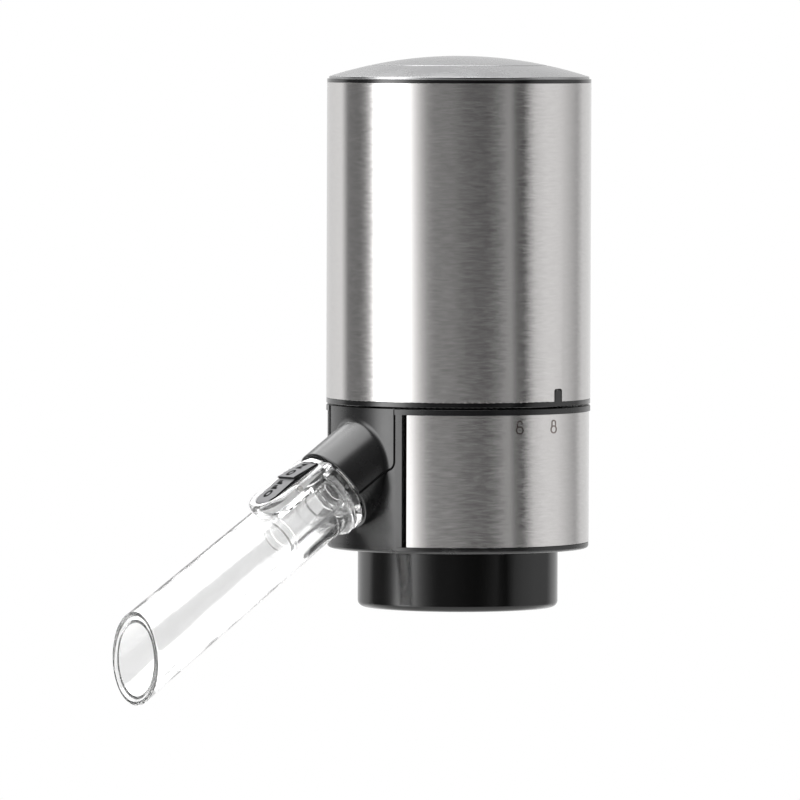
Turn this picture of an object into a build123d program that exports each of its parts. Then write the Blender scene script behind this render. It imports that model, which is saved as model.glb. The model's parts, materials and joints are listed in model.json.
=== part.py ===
from build123d import *
from math import cos, pi, radians, sin, sqrt
import os

os.makedirs("parts", exist_ok=True)

# Millimetres, +Z up. The origin is the centre of the bottle socket's mouth, and the spout points to -Y.

# Main sizes
body_dia = 50.0
band_inset = 0.2
socket_bore_dia = 31.0
socket_depth = 9.6
socket_wall = 3.45
socket_length = 11.2
band_height = 24.8
sleeve_height = 59.7
dome_radius = 80.0
dome_edge_height = 0.42
button_dia = 33.2

# Fits and gaps
running_gap = 0.1
press_gap = 0.05
body_gap = 0.3
seam_gap = 0.12
overrun = 2.0
match = 0.01

# Rounded edges
rim_round = 0.15
sheet_round = 0.1
moulded_round = 0.3

# Base ring and housing
base_ring_height = 1.2
base_ring_inset = 0.05
base_ring_round = 0.6
housing_wall = 2.0
floor_height = 2.0
top_ring_height = 1.05
sheet_thickness = 0.55
front_half_angle = 27.9
cover_half_angle = 24.5
cover_gap_angle = 0.3
cover_corner = 1.4
groove_half_angle = 31.4
hem_half_angles = (30.2, 31.2)
groove_depth = 0.8

# Bottle sleeve and port manifold
sleeve_round = 1.2
socket_corner_round = 0.7
sleeve_flange_reach = 1.65
sleeve_flange_height = 1.2
seal_lip_width = 4.5
seal_ridge_inset = 2.5
seal_ridge_section_dia = 1.2
manifold_flange_reach = 1.8
manifold_flange_height = 1.8
manifold_recess = 0.3
pickup_bore_dia = 6.2
pickup_roof = 1.2
wine_port_y = -2.2
air_port_place = (10.0, -4.6)
air_outlet_place = (7.0, -3.2)
air_channel_dia = 1.4

# Hoses and their stubs
wine_hose_dia = 5.0
wine_hose_bore = 3.0
wine_hose_bend = 6.0
air_hose_dia = 3.0
air_hose_bore = 1.6
air_hose_bend = 4.0
stub_wall = 0.65
stub_collar_height = 0.5

# Nozzle, and the socket that the spout plugs into
spout_pitch = 33.3
nozzle_reach = 4.64
nozzle_height = 10.19
nozzle_dia = 16.9
nozzle_depth = 10.5
nozzle_wall = 1.4
nozzle_lip = 0.7
nozzle_rebate_depth = 1.2
nozzle_fillet = 1.5
nozzle_root_depth = 16.0
outlet_bore_depth = 9.8
outlet_back_wall = 0.8
outlet_chamber_bore = 5.6
outlet_chamber_dia = 8.4
outlet_depth = 12.5
outlet_front = 1.6
elbow_inset = 11.44
elbow_rise = 4.71
elbow_collar_dia = 4.8
elbow_collar_length = 5.0
elbow_length = 9.0

# Pump and motor, lying across the back
pump_inset = 13.7
pump_height = 8.5
motor_dia = 12.0
motor_round = 0.4
motor_start_x = -14.5
motor_length = 18.0
motor_cap_height = 0.8
motor_cap_dia = 11.2
pump_head_dia = 12.6
pump_head_length = 5.0
pump_wall = 1.0
pump_chamber_dia = 9.2
pump_cover_length = 6.0
shaft_dia = 1.5
shaft_end_x = 7.0
eccentric_dia = 4.0
eccentric_throw = 0.6
eccentric_length = 1.8
saddle_width = 1.4
saddle_half_depth = 5.0
saddle_height = 5.2

# Control board and contact deck
post_dia = 3.0
post_side_inset = 8.6
post_back_inset = 5.9
post_front_y = -8.0
board_margin = 2.4
board_thickness = 1.6
board_notch = (20.0, 15.5)
board_spacing = 3.2
deck_drop = 1.05
deck_margin = 0.5
deck_thickness = 1.5
contact_ring_dias = ((26.0, 22.0), (14.0, 10.0))
contact_ring_thickness = 0.25

# Bayonet
skirt_wall = 1.4
skirt_drop = 4.95
lug_reach = 1.4
lug_height = 1.4
lug_half_angle = 8.0
lug_angles = (90.0, 210.0, 330.0)
twist_angle = 20.0
stop_half_angle = 3.0
stop_clear_angle = 0.6
bayonet_ring_height = 1.9
bayonet_ring_width = 2.05
bayonet_ring_wall = 0.65
stop_height = 1.6

# Bezel ring and upper sleeve
bezel_rim_height = 0.95
bezel_plate_height = 1.65
bezel_spigot_height = 5.5
bezel_spigot_wall = 1.55
bezel_bore_height = 4.45
sleeve_wall = 0.6
tab_angle = 11.6
tab_width = 1.7
tab_height = 2.2
tab_round = 0.5
tab_gap = 0.25

# Battery cage and cells
cage_disc_height = 2.0
cage_core_dia = 27.0
cell_dia = 10.5
cell_headroom = 15.2
cell_nub_dia = 3.8
cell_nub_height = 1.2
cell_circle_dia = 24.0
cell_clearance = 0.2
contact_thickness = 0.4
contact_width = 7.0
contact_pin_dia = 1.7

# Cap, button and switch
cap_rim_height = 0.7
cap_spigot_wall = 1.45
cap_ledge_height = 1.2
dome_edge_inset = 0.4
dome_foot_inset = 2.2
dome_shell = 1.5
dome_foot_width = 1.5
dome_base_drop = 1.6
button_gap = 0.2
button_travel = 1.0
button_edge_height = 2.26
button_skirt_inset = 1.7
button_skirt_wall = 1.0
button_roof_drop = 3.2
hook_reach = 1.0
hook_height = 0.8
hook_half_angle = 12.0
plunger_dia = 3.6
switch_board_dia = 26.0
switch_post_height = 2.2
switch_post_circle = 18.0
switch_size = 6.0
switch_height = 1.5
switch_nub_dia = 3.4
switch_nub_height = 0.25
spring_dia = 10.0
spring_wire = 0.6
spring_turns = 4
spring_samples = 48

# Screws
screw_dia = 1.6
screw_head_dia = 2.8
screw_head_height = 0.8
screw_boss_dia = 3.6
base_screw_inset = 1.8
cap_screw_inset = 3.15
base_screw_head_height = 0.6
base_screw_bite = 3.4
bezel_screw_recess = 1.2

# Clear spout
collar_inset = 0.55
collar_start = 0.3
collar_length = 2.7
step_ring_drop = 1.0
step_ring_length = 2.8
step_round = 0.12
tube_start_dia = 13.34
tube_mouth_dia = 14.66
spout_length = 54.05
spout_shell = 1.3
spout_tip_shell = 0.66
spout_end_wall = 0.9
spigot_dia = 9.7
spigot_gap = 0.15
spigot_length = 9.5
spigot_bore = 4.4
seat_gap = 0.3
ring_groove_depth = 0.75
ring_groove_width = 1.2
ring_places = (4.0, 7.0)
ring_section_dia = 0.8

# Inner channel of the spout
channel_dia = 7.2
channel_wall = 0.7
channel_tip_wall = 0.4
channel_joint_dia = 8.4
channel_joint_at = 14.3
channel_joint_length = 1.4
channel_mouth_dia = 12.4
channel_mouth_gap = 0.4

# Rocker in its boss on the spout
boss_width = 9.8
boss_end = 16.6
boss_root_height = 7.3
boss_tip_height = 8.0
boss_floor_height = 5.2
boss_under_height = 4.2
boss_round = 0.6
rocker_width = 5.5
rocker_start = 1.6
rocker_length = 13.6
rocker_gap = 0.2
rocker_pivot_at = 8.4
rocker_pivot_height = 6.7
rocker_ridge_at = 7.3
rocker_round = 0.2
rocker_rear_rise = 0.2
rocker_ridge_rise = 0.85
rocker_step = 0.45
rocker_tip_drop = 0.1
rocker_under_height = 5.7
rocker_rear_under_height = 6.25
rocker_tip_under_height = 5.45
pivot_pin_dia = 1.0
pivot_pin_length = 8.6
stem_at = 3.4
stem_head_dia = 2.6
stem_head_low = 5.55
stem_head_height = 0.4
stem_shaft_dia = 1.4
stem_cone_dia = 2.6
stem_cone_height = 0.9
stem_seat_gap = 0.1
stem_port_dia = 3.2
bush_dia = 4.6
bush_low = 3.75
bush_high = 4.9

# Radii worked out from the sizes above
body_r = body_dia / 2
band_r = body_r - band_inset
housing_r = band_r - sheet_thickness - press_gap
inner_r = housing_r - housing_wall
sleeve_bore_r = body_r - sleeve_wall
spigot_r = sleeve_bore_r - press_gap
socket_r = socket_bore_dia / 2
socket_outer_r = socket_r + socket_wall
sleeve_flange_r = socket_outer_r + sleeve_flange_reach
seal_hole_r = socket_r - seal_lip_width
ring_outer_r = inner_r - press_gap
ring_inner_r = ring_outer_r - bayonet_ring_width
skirt_r = ring_inner_r - body_gap
lug_r = skirt_r + lug_reach
button_r = button_dia / 2
button_skirt_r = button_r - button_skirt_inset
dome_bore_r = button_r + button_gap
dome_edge_r = body_r - dome_edge_inset
dome_foot_r = body_r - dome_foot_inset

# Heights worked out from the sizes above
base_top = socket_length + base_ring_height
recess_top = base_top + sleeve_flange_height
floor_top = recess_top + floor_height
band_top = base_top + band_height
parting_low = band_top + top_ring_height
parting_high = parting_low + body_gap
sleeve_low = parting_high + bezel_rim_height
sleeve_top = sleeve_low + sleeve_height
rim_top = sleeve_top + cap_rim_height
dome_centre = rim_top + dome_edge_height - sqrt(dome_radius**2 - dome_edge_r**2)
apex = dome_centre + dome_radius
plate_top = parting_high + bezel_plate_height
cage_low = parting_high + bezel_bore_height
cell_low = cage_low + cage_disc_height + contact_thickness
cell_length = sleeve_height - cell_headroom
cell_top = cell_low + cell_length
cage_disc_low = cell_top + contact_thickness
cage_top = cage_disc_low + cage_disc_height
ledge_top = rim_top - dome_base_drop
ledge_low = ledge_top - cap_ledge_height
manifold_low = socket_depth + manifold_recess
manifold_top = floor_top + manifold_flange_height
stub_low = manifold_top + stub_collar_height
switch_board_low = cage_top + switch_post_height
switch_board_top = switch_board_low + board_thickness
deck_top = parting_high - deck_drop
deck_z = deck_top - deck_thickness
board_top = deck_z - board_spacing
board_z = board_top - board_thickness
contact_top = deck_top + contact_ring_thickness

# Places of the posts, the pump, the elbow and the hoses, and the bores of the nozzle
post_side_x = inner_r - post_side_inset
post_places = ((-post_side_x, post_front_y), (post_side_x, post_front_y), (0, inner_r - post_back_inset))
pump_y = inner_r - pump_inset
pump_z = floor_top + pump_height
nozzle_face_y = -band_r - nozzle_reach
nozzle_face_z = base_top + nozzle_height
nozzle_bore_dia = nozzle_dia - 2 * nozzle_wall
nozzle_rebate_dia = nozzle_dia - 2 * nozzle_lip
outlet_bore_dia = spigot_dia + 2 * spigot_gap
elbow_start_y = nozzle_face_y + elbow_inset
hose_end_y = elbow_start_y + elbow_collar_length
wine_hose_height = nozzle_face_z + elbow_rise

# The spout's own directions: along it, and square to it towards the rocker
down_spout = Vector(0, -cos(radians(spout_pitch)), -sin(radians(spout_pitch)))
out_of_top = Vector(0, -sin(radians(spout_pitch)), cos(radians(spout_pitch)))
nozzle_face = Vector(0, nozzle_face_y, nozzle_face_z)
spout_axis = Axis(nozzle_face, down_spout)
spout_side = Plane(origin=nozzle_face, x_dir=out_of_top, z_dir=out_of_top.cross(down_spout))
spout_end = Plane(origin=nozzle_face, x_dir=(1, 0, 0), z_dir=down_spout)
spout_top = Plane(origin=nozzle_face, x_dir=(1, 0, 0), z_dir=out_of_top)


def outline(plane, *points):
    """The flat face with these corners, drawn in the plane."""
    with BuildSketch(plane) as drawn:
        with BuildLine():
            Polyline(*points, close=True)
        make_face()
    return drawn.sketch


def section(*points):
    """A section of a turned piece, each corner a radius and a height."""
    return outline(Plane.XZ, *points)


def rims(part, axis, radius, place):
    """The round edges of a part with this radius, at this place along the axis."""
    found = []
    for edge in part.edges().filter_by(GeomType.CIRCLE):
        from_start = (edge.arc_center - axis.position).dot(axis.direction)
        if abs(edge.radius - radius) < match and abs(from_start - place) < match:
            found.append(edge)
    return found


def along_spout(*points):
    """A section of a piece turned round the spout, each corner a radius and a place along it."""
    return outline(spout_side, *points)


def fan(half_angle, low, high, middle=-90.0):
    """The space within half_angle of the direction at middle degrees, from low to high."""
    reach = body_dia
    spread = reach * sin(radians(half_angle)) / cos(radians(half_angle))
    plane = Plane.XY.offset(low).rotated((0, 0, middle))
    with BuildPart() as space:
        extrude(outline(plane, (0, 0), (reach, -spread), (reach, spread)), amount=high - low)
    return space.part


def dome_z(radius):
    """The height of the dome at a radius."""
    return dome_centre + sqrt(dome_radius**2 - radius**2)


def winding(radius, low, high, turns):
    """The line of a spring round the Z axis: half turns, each made of two arcs that meet in line."""
    rise = (high - low) / (2 * turns)
    with BuildLine() as wound:
        for half_turn in range(2 * turns):
            side = 1 if half_turn % 2 == 0 else -1
            start = Vector(side * radius, 0, low + half_turn * rise)
            end = Vector(-side * radius, 0, start.Z + rise)
            lead = Vector(0, side * radius * pi, rise).normalized()
            leave = Vector(0, -lead.Y, lead.Z)
            chord = end - start
            spread_share = 2 * (1 - lead.dot(leave))
            along = chord.dot(lead + leave)
            reach = (sqrt(along**2 + spread_share * chord.dot(chord)) - along) / spread_share
            first_corner = start + lead * reach
            second_corner = end - leave * reach
            middle = (first_corner + second_corner) * 0.5
            TangentArc(start, middle, tangent=lead)
            TangentArc(middle, end, tangent=second_corner - first_corner)
    return wound.line


def least_gap(wound, wire, turns, samples_per_turn):
    """The least gap between neighbouring turns of a wound wire, measured on points along it."""
    count = turns * samples_per_turn
    points = [wound @ (index / count) for index in range(count + 1)]
    gaps = []
    for index, point in enumerate(points):
        for other in points[index + samples_per_turn // 2:]:
            gaps.append((other - point).length - wire)
    return min(gaps)


def ring_of(count, circle_dia, start_angle=0.0):
    """Places spread evenly on a circle round the Z axis."""
    step = 360 / count
    angles = [start_angle + index * step for index in range(count)]
    return [(circle_dia / 2 * cos(radians(a)), circle_dia / 2 * sin(radians(a))) for a in angles]


# Places of the screws
base_screws_at = ring_of(3, 2 * (housing_r - base_screw_inset), 90)
cap_screws_at = ring_of(3, 2 * (spigot_r - cap_screw_inset), 90)
bezel_screws_at = ring_of(3, 2 * (spigot_r - cap_screw_inset), 30)


def rods(places, low, high, dia, mode=Mode.ADD):
    """Upright round rods, or holes, at these places."""
    with Locations(*[(x, y, (low + high) / 2) for x, y in places]):
        Cylinder(dia / 2, high - low, mode=mode)


def screws(places, head_low, head_height, shank_low, shank_high):
    """One group of upright screws with plain heads."""
    with BuildPart() as group:
        rods(places, head_low, head_low + head_height, screw_head_dia)
        rods(places, shank_low, shank_high, screw_dia)
    return group.part


# Spaces that more than one piece is cut to
with BuildPart() as upper_half:
    with BuildSketch(spout_top):
        Rectangle(2 * body_dia, 2 * body_dia)
    extrude(amount=body_dia)
with BuildPart() as nozzle_bores:
    revolve(
        along_spout(
            (0, overrun),
            (nozzle_rebate_dia / 2, overrun),
            (nozzle_rebate_dia / 2, -nozzle_rebate_depth),
            (nozzle_bore_dia / 2, -nozzle_rebate_depth),
            (nozzle_bore_dia / 2, -outlet_depth),
            (0, -outlet_depth),
        ),
        axis=spout_axis,
    )
with BuildPart() as front_skin:
    revolve(
        section(
            (housing_r - groove_depth, base_top),
            (band_r, base_top),
            (band_r, band_top),
            (housing_r - groove_depth, band_top),
        ),
        axis=Axis.Z,
    )
with BuildPart() as lower_nozzle:
    with BuildSketch(spout_end):
        Circle(nozzle_dia / 2)
    extrude(amount=-nozzle_depth)
    fillet(rims(lower_nozzle, spout_axis, nozzle_dia / 2, 0), moulded_round)
    add(upper_half.part, mode=Mode.SUBTRACT)


def runs_outwards(edge):
    """Whether an edge gets further from the middle plane along its way."""
    return abs(abs((edge @ 0).X) - abs((edge @ 1).X)) > match


def cover_block(half_angle, lift):
    """The space over the spout's axis where the cover goes, its two lower corners rounded."""
    above = upper_half.part.translate(out_of_top * lift)
    with BuildPart() as block:
        add(fan(half_angle, floor_top, parting_low + overrun) & above)
        rods([(0, 0)], 0, apex, 2 * (inner_r - overrun), mode=Mode.SUBTRACT)
        sloping = block.faces().filter_by(spout_top)
        fillet(sloping.edges().filter_by(runs_outwards), cover_corner)
    return block.part


cover_space = cover_block(cover_half_angle, 0)
front_ribs = front_skin.part & fan(front_half_angle, base_top, band_top)
groove_space = fan(groove_half_angle, base_top, band_top) - fan(front_half_angle, base_top, band_top)
side_grooves = front_skin.part & groove_space
saddle_x = (
    motor_start_x + saddle_width / 2,
    motor_start_x + motor_length + pump_head_length + pump_cover_length - saddle_width,
)

def at_nozzle_root(edge):
    """Whether an edge lies where the nozzle's round meets the outside of the panel."""
    point = edge @ 0.5
    from_panel = sqrt(point.X**2 + point.Y**2) - band_r
    from_nozzle = (point - nozzle_face).cross(down_spout).length - nozzle_dia / 2
    return abs(from_panel) < running_gap and abs(from_nozzle) < running_gap


# Base housing: floor, wall and top ring, with the front window and the lower half of the nozzle
with BuildPart() as base_housing:
    revolve(
        section(
            (sleeve_flange_r + running_gap, base_top),
            (housing_r, base_top),
            (housing_r, band_top),
            (body_r, band_top),
            (body_r, parting_low),
            (inner_r, parting_low),
            (inner_r, floor_top),
            (seal_hole_r + running_gap, floor_top),
            (seal_hole_r + running_gap, recess_top),
            (sleeve_flange_r + running_gap, recess_top),
        ),
        axis=Axis.Z,
    )
    add(front_ribs)
    add(side_grooves, mode=Mode.SUBTRACT)
    add(cover_space, mode=Mode.SUBTRACT)
    add(lower_nozzle.part)
    fillet(rims(base_housing, Axis.Z, body_r, parting_low), rim_round)
    add(nozzle_bores.part, mode=Mode.SUBTRACT)
    # Board posts, and two ribs that carry the pump
    rods(post_places, floor_top, board_z, post_dia)
    rods(post_places, floor_top, board_z, screw_dia + press_gap, mode=Mode.SUBTRACT)
    with BuildSketch(Plane.XY.offset(floor_top)):
        with Locations(*[(x, pump_y) for x in saddle_x]):
            Rectangle(saddle_width, 2 * saddle_half_depth)
    extrude(amount=saddle_height)
    for x, carried_dia in zip(saddle_x, (motor_dia, pump_head_dia)):
        with BuildSketch(Plane.YZ.offset(x)):
            with Locations((pump_y, pump_z)):
                Circle(carried_dia / 2 + press_gap)
        extrude(amount=saddle_width, both=True, mode=Mode.SUBTRACT)
    rods(base_screws_at, base_top, floor_top, screw_dia + press_gap, mode=Mode.SUBTRACT)
base_housing.part.label = "base_housing"
export_step(base_housing.part, "parts/base_housing.step")


# Nozzle cover: the front panel between the ribs and the upper half of the nozzle, with a soft root
with BuildPart() as nozzle_cover:
    revolve(
        section((inner_r, floor_top), (band_r, floor_top), (band_r, parting_low), (inner_r, parting_low)),
        axis=Axis.Z,
    )
    with BuildSketch(spout_end):
        Circle(nozzle_dia / 2)
    extrude(amount=-nozzle_root_depth)
    rods([(0, 0)], 0, apex, 2 * inner_r, mode=Mode.SUBTRACT)
    fillet(rims(nozzle_cover, spout_axis, nozzle_dia / 2, 0), moulded_round)
    add(cover_block(cover_half_angle - cover_gap_angle, seam_gap), mode=Mode.INTERSECT)
    fillet(nozzle_cover.edges().filter_by(at_nozzle_root), nozzle_fillet)
    add(nozzle_bores.part, mode=Mode.SUBTRACT)
nozzle_cover.part.label = "nozzle_cover"
export_step(nozzle_cover.part, "parts/nozzle_cover.step")

# Lower steel band: a sheet wrapped round the back, its ends folded into the housing's grooves
hem_r = housing_r - groove_depth + press_gap
band_low = base_top + press_gap
band_high = band_top - press_gap
with BuildPart() as hem_ring:
    hem_section = section((hem_r, band_low), (band_r, band_low), (band_r, band_high), (hem_r, band_high))
    revolve(hem_section, axis=Axis.Z)
hem_space = fan(hem_half_angles[1], base_top, band_top) - fan(hem_half_angles[0], base_top, band_top)
with BuildPart() as lower_band:
    revolve(
        section(
            (housing_r + press_gap, band_low),
            (band_r, band_low),
            (band_r, band_high),
            (housing_r + press_gap, band_high),
        ),
        axis=Axis.Z,
    )
    add(fan(hem_half_angles[0], base_top, band_top), mode=Mode.SUBTRACT)
    add(hem_ring.part & hem_space)
lower_band.part.label = "lower_band"
export_step(lower_band.part, "parts/lower_band.step")

# Base ring under the housing, with its screws
with BuildPart() as base_ring:
    revolve(
        section(
            (socket_outer_r + press_gap, socket_length),
            (band_r - base_ring_inset, socket_length),
            (band_r - base_ring_inset, base_top - press_gap),
            (socket_outer_r + press_gap, base_top - press_gap),
        ),
        axis=Axis.Z,
    )
    fillet(rims(base_ring, Axis.Z, band_r - base_ring_inset, socket_length), base_ring_round)
    rods(base_screws_at, 0, base_top, screw_dia + running_gap, mode=Mode.SUBTRACT)
    recess_high = socket_length + base_screw_head_height
    rods(base_screws_at, 0, recess_high, screw_head_dia + running_gap, mode=Mode.SUBTRACT)
base_ring.part.label = "base_ring"
export_step(base_ring.part, "parts/base_ring.step")

with BuildPart() as base_screws:
    shank_high = socket_length + base_screw_bite
    add(screws(base_screws_at, socket_length, base_screw_head_height, socket_length, shank_high))
base_screws.part.label = "base_screws"
export_step(base_screws.part, "parts/base_screws.step")

# Bottle sleeve: a soft skirt that slips over a bottle's finish, its seal ridge pressing on the rim
with BuildPart() as bottle_sleeve:
    revolve(
        section(
            (socket_r, 0),
            (socket_outer_r, 0),
            (socket_outer_r, base_top),
            (sleeve_flange_r, base_top),
            (sleeve_flange_r, recess_top - press_gap),
            (seal_hole_r, recess_top - press_gap),
            (seal_hole_r, socket_depth),
            (socket_r, socket_depth),
        ),
        axis=Axis.Z,
    )
    fillet(rims(bottle_sleeve, Axis.Z, socket_outer_r, 0), sleeve_round)
    fillet(rims(bottle_sleeve, Axis.Z, socket_r, socket_depth), socket_corner_round)
    with Locations((0, 0, socket_depth)):
        Torus(socket_r - seal_ridge_inset, seal_ridge_section_dia / 2)
bottle_sleeve.part.label = "bottle_sleeve"
export_step(bottle_sleeve.part, "parts/bottle_sleeve.step")

# Port manifold: the pick-up tube's socket below, the wine and air stubs above
stub_dia = wine_hose_bore - 2 * press_gap
air_stub_dia = air_hose_bore - 2 * press_gap
air_port = Vector(*air_port_place, stub_low)
air_outlet = Vector(*air_outlet_place, manifold_low - overrun)
with BuildPart() as port_manifold:
    revolve(
        section(
            (0, manifold_low),
            (seal_hole_r - press_gap, manifold_low),
            (seal_hole_r - press_gap, floor_top),
            (seal_hole_r + manifold_flange_reach, floor_top),
            (seal_hole_r + manifold_flange_reach, manifold_top),
            (0, manifold_top),
        ),
        axis=Axis.Z,
    )
    rods([(0, wine_port_y)], manifold_top, stub_low, wine_hose_dia)
    rods([(0, wine_port_y)], manifold_top, wine_hose_height - wine_hose_bend, stub_dia)
    rods([air_port_place], manifold_top, stub_low, air_hose_dia)
    rods([air_port_place], manifold_top, pump_z - air_hose_bend, air_stub_dia)
    rods([(0, 0)], manifold_low, manifold_top - pickup_roof, pickup_bore_dia, mode=Mode.SUBTRACT)
    stub_bore = stub_dia - 2 * stub_wall
    rods([(0, wine_port_y)], manifold_top - overrun, wine_hose_height, stub_bore, mode=Mode.SUBTRACT)
    with BuildSketch(Plane(origin=air_port, z_dir=air_outlet - air_port)):
        Circle(air_channel_dia / 2)
    extrude(amount=(air_outlet - air_port).length, mode=Mode.SUBTRACT)
port_manifold.part.label = "port_manifold"
export_step(port_manifold.part, "parts/port_manifold.step")

# Wine hose, from the manifold's stub round to the elbow behind the spout's socket
with BuildPart() as wine_hose:
    with BuildLine() as wine_route:
        FilletPolyline(
            (0, wine_port_y, stub_low + press_gap),
            (0, wine_port_y, wine_hose_height),
            (0, hose_end_y, wine_hose_height),
            radius=wine_hose_bend,
        )
    with BuildSketch(Plane(origin=wine_route.line @ 0, z_dir=wine_route.line % 0)):
        Circle(wine_hose_dia / 2)
        Circle(wine_hose_bore / 2, mode=Mode.SUBTRACT)
    sweep(path=wine_route.line)
wine_hose.part.label = "wine_hose"
export_step(wine_hose.part, "parts/wine_hose.step")

# Air hose, from the pump's outlet stub down to the manifold
pump_side_y = pump_y - pump_head_dia / 2
with BuildPart() as air_hose:
    with BuildLine() as air_route:
        FilletPolyline(
            (air_port_place[0], pump_side_y - press_gap, pump_z),
            (air_port_place[0], air_port_place[1], pump_z),
            (air_port_place[0], air_port_place[1], stub_low + press_gap),
            radius=air_hose_bend,
        )
    with BuildSketch(Plane(origin=air_route.line @ 0, z_dir=air_route.line % 0)):
        Circle(air_hose_dia / 2)
        Circle(air_hose_bore / 2, mode=Mode.SUBTRACT)
    sweep(path=air_route.line)
air_hose.part.label = "air_hose"
export_step(air_hose.part, "parts/air_hose.step")

# Outlet socket inside the nozzle: the spout plugs into its front, the wine hose onto its elbow
with BuildPart() as outlet_socket:
    revolve(
        along_spout(
            (outlet_bore_dia / 2, -outlet_front),
            (nozzle_bore_dia / 2 - press_gap, -outlet_front),
            (nozzle_bore_dia / 2 - press_gap, -nozzle_depth),
            (outlet_chamber_dia / 2, -nozzle_depth),
            (outlet_chamber_dia / 2, -outlet_depth),
            (0, -outlet_depth),
            (0, outlet_back_wall - outlet_depth),
            (outlet_chamber_bore / 2, outlet_back_wall - outlet_depth),
            (outlet_chamber_bore / 2, -outlet_bore_depth),
            (outlet_bore_dia / 2, -outlet_bore_depth),
        ),
        axis=spout_axis,
    )
    elbow_plane = Plane(origin=(0, elbow_start_y, wine_hose_height), z_dir=(0, 1, 0))
    with BuildSketch(elbow_plane):
        Circle(elbow_collar_dia / 2)
    extrude(amount=elbow_collar_length - press_gap)
    with BuildSketch(elbow_plane):
        Circle(stub_dia / 2)
    extrude(amount=elbow_length)
    with BuildSketch(elbow_plane):
        Circle(stub_dia / 2 - stub_wall)
    extrude(amount=elbow_length, mode=Mode.SUBTRACT)
    with BuildSketch(elbow_plane):
        Circle(stub_dia / 2 - stub_wall)
    extrude(amount=-outlet_back_wall, mode=Mode.SUBTRACT)
outlet_socket.part.label = "outlet_socket"
export_step(outlet_socket.part, "parts/outlet_socket.step")

# Motor can, its rear cap, the pump head with its crank chamber, and the valve cover
pump_x = motor_start_x + motor_length
cover_x = pump_x + pump_head_length


def across(x):
    """The plane square to the motor's shaft at this x, centred on the shaft."""
    return Plane(origin=(x, pump_y, pump_z), x_dir=(0, 1, 0), z_dir=(1, 0, 0))


with BuildPart() as motor_can:
    with BuildSketch(across(motor_start_x)):
        Circle(motor_dia / 2)
    extrude(amount=motor_length)
    fillet(motor_can.edges().filter_by(GeomType.CIRCLE), motor_round)
    with BuildSketch(across(motor_start_x + motor_cap_height)):
        Circle(shaft_dia / 2 + press_gap)
    extrude(amount=motor_length, mode=Mode.SUBTRACT)
motor_can.part.label = "motor_can"
export_step(motor_can.part, "parts/motor_can.step")

with BuildPart() as motor_cap:
    with BuildSketch(across(motor_start_x)):
        Circle(motor_cap_dia / 2)
    extrude(amount=-motor_cap_height)
motor_cap.part.label = "motor_cap"
export_step(motor_cap.part, "parts/motor_cap.step")

with BuildPart() as pump_head:
    with BuildSketch(across(pump_x)):
        Circle(pump_head_dia / 2)
    extrude(amount=pump_head_length)
    with BuildSketch(across(pump_x + pump_wall)):
        Circle(pump_chamber_dia / 2)
    extrude(amount=pump_head_length, mode=Mode.SUBTRACT)
    with BuildSketch(across(pump_x)):
        Circle(shaft_dia / 2 + running_gap)
    extrude(amount=pump_head_length, mode=Mode.SUBTRACT)
pump_head.part.label = "pump_head"
export_step(pump_head.part, "parts/pump_head.step")

with BuildPart() as pump_cover:
    with BuildSketch(across(cover_x)):
        Circle(pump_head_dia / 2)
    extrude(amount=pump_cover_length)
    with BuildSketch(Plane(origin=(air_port_place[0], pump_y, pump_z), z_dir=(0, -1, 0))):
        Circle(air_stub_dia / 2)
    extrude(amount=pump_y - air_port_place[1] - air_hose_bend)
pump_cover.part.label = "pump_cover"
export_step(pump_cover.part, "parts/pump_cover.step")

# Motor shaft with the crank that works the pump
with BuildPart() as pump_shaft:
    with BuildSketch(across(motor_start_x + motor_cap_height + body_gap)):
        Circle(shaft_dia / 2)
    extrude(amount=shaft_end_x - motor_start_x - motor_cap_height - body_gap)
    with BuildSketch(across(shaft_end_x - eccentric_length)):
        with Locations((eccentric_throw, 0)):
            Circle(eccentric_dia / 2)
    extrude(amount=eccentric_length)
pump_shaft.part.label = "pump_shaft"
export_step(pump_shaft.part, "parts/pump_shaft.step")

# Control board on the posts, and the contact deck that stands on it
board_r = inner_r - board_margin
with BuildPart() as control_board:
    rods([(0, 0)], board_z, board_top, 2 * board_r)
    with BuildSketch(Plane.XY.offset(board_z)):
        with Locations((0, -board_notch[1])):
            Rectangle(board_notch[0], board_r, align=(Align.CENTER, Align.MAX))
    extrude(amount=board_thickness, mode=Mode.SUBTRACT)
    rods(post_places, board_z, board_top, screw_dia + running_gap, mode=Mode.SUBTRACT)
control_board.part.label = "control_board"
export_step(control_board.part, "parts/control_board.step")

deck_r = skirt_r - skirt_wall - deck_margin
with BuildPart() as contact_deck:
    rods([(0, 0)], deck_z, deck_top, 2 * deck_r)
    rods(post_places, board_top, deck_z, post_dia)
    rods(post_places, board_top, deck_top, screw_dia + running_gap, mode=Mode.SUBTRACT)
    recess_low = deck_top - screw_head_height
    rods(post_places, recess_low, deck_top, screw_head_dia + running_gap, mode=Mode.SUBTRACT)
contact_deck.part.label = "contact_deck"
export_step(contact_deck.part, "parts/contact_deck.step")

with BuildPart() as deck_screws:
    head_low = deck_top - screw_head_height
    add(screws(post_places, head_low, screw_head_height, board_z - overrun, head_low))
deck_screws.part.label = "deck_screws"
export_step(deck_screws.part, "parts/deck_screws.step")

with BuildPart() as contact_rings:
    for outer_dia, bore_dia in contact_ring_dias:
        with BuildSketch(Plane.XY.offset(deck_top)):
            Circle(outer_dia / 2)
            Circle(bore_dia / 2, mode=Mode.SUBTRACT)
        extrude(amount=contact_ring_thickness)
contact_rings.part.label = "contact_rings"
export_step(contact_rings.part, "parts/contact_rings.step")

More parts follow.
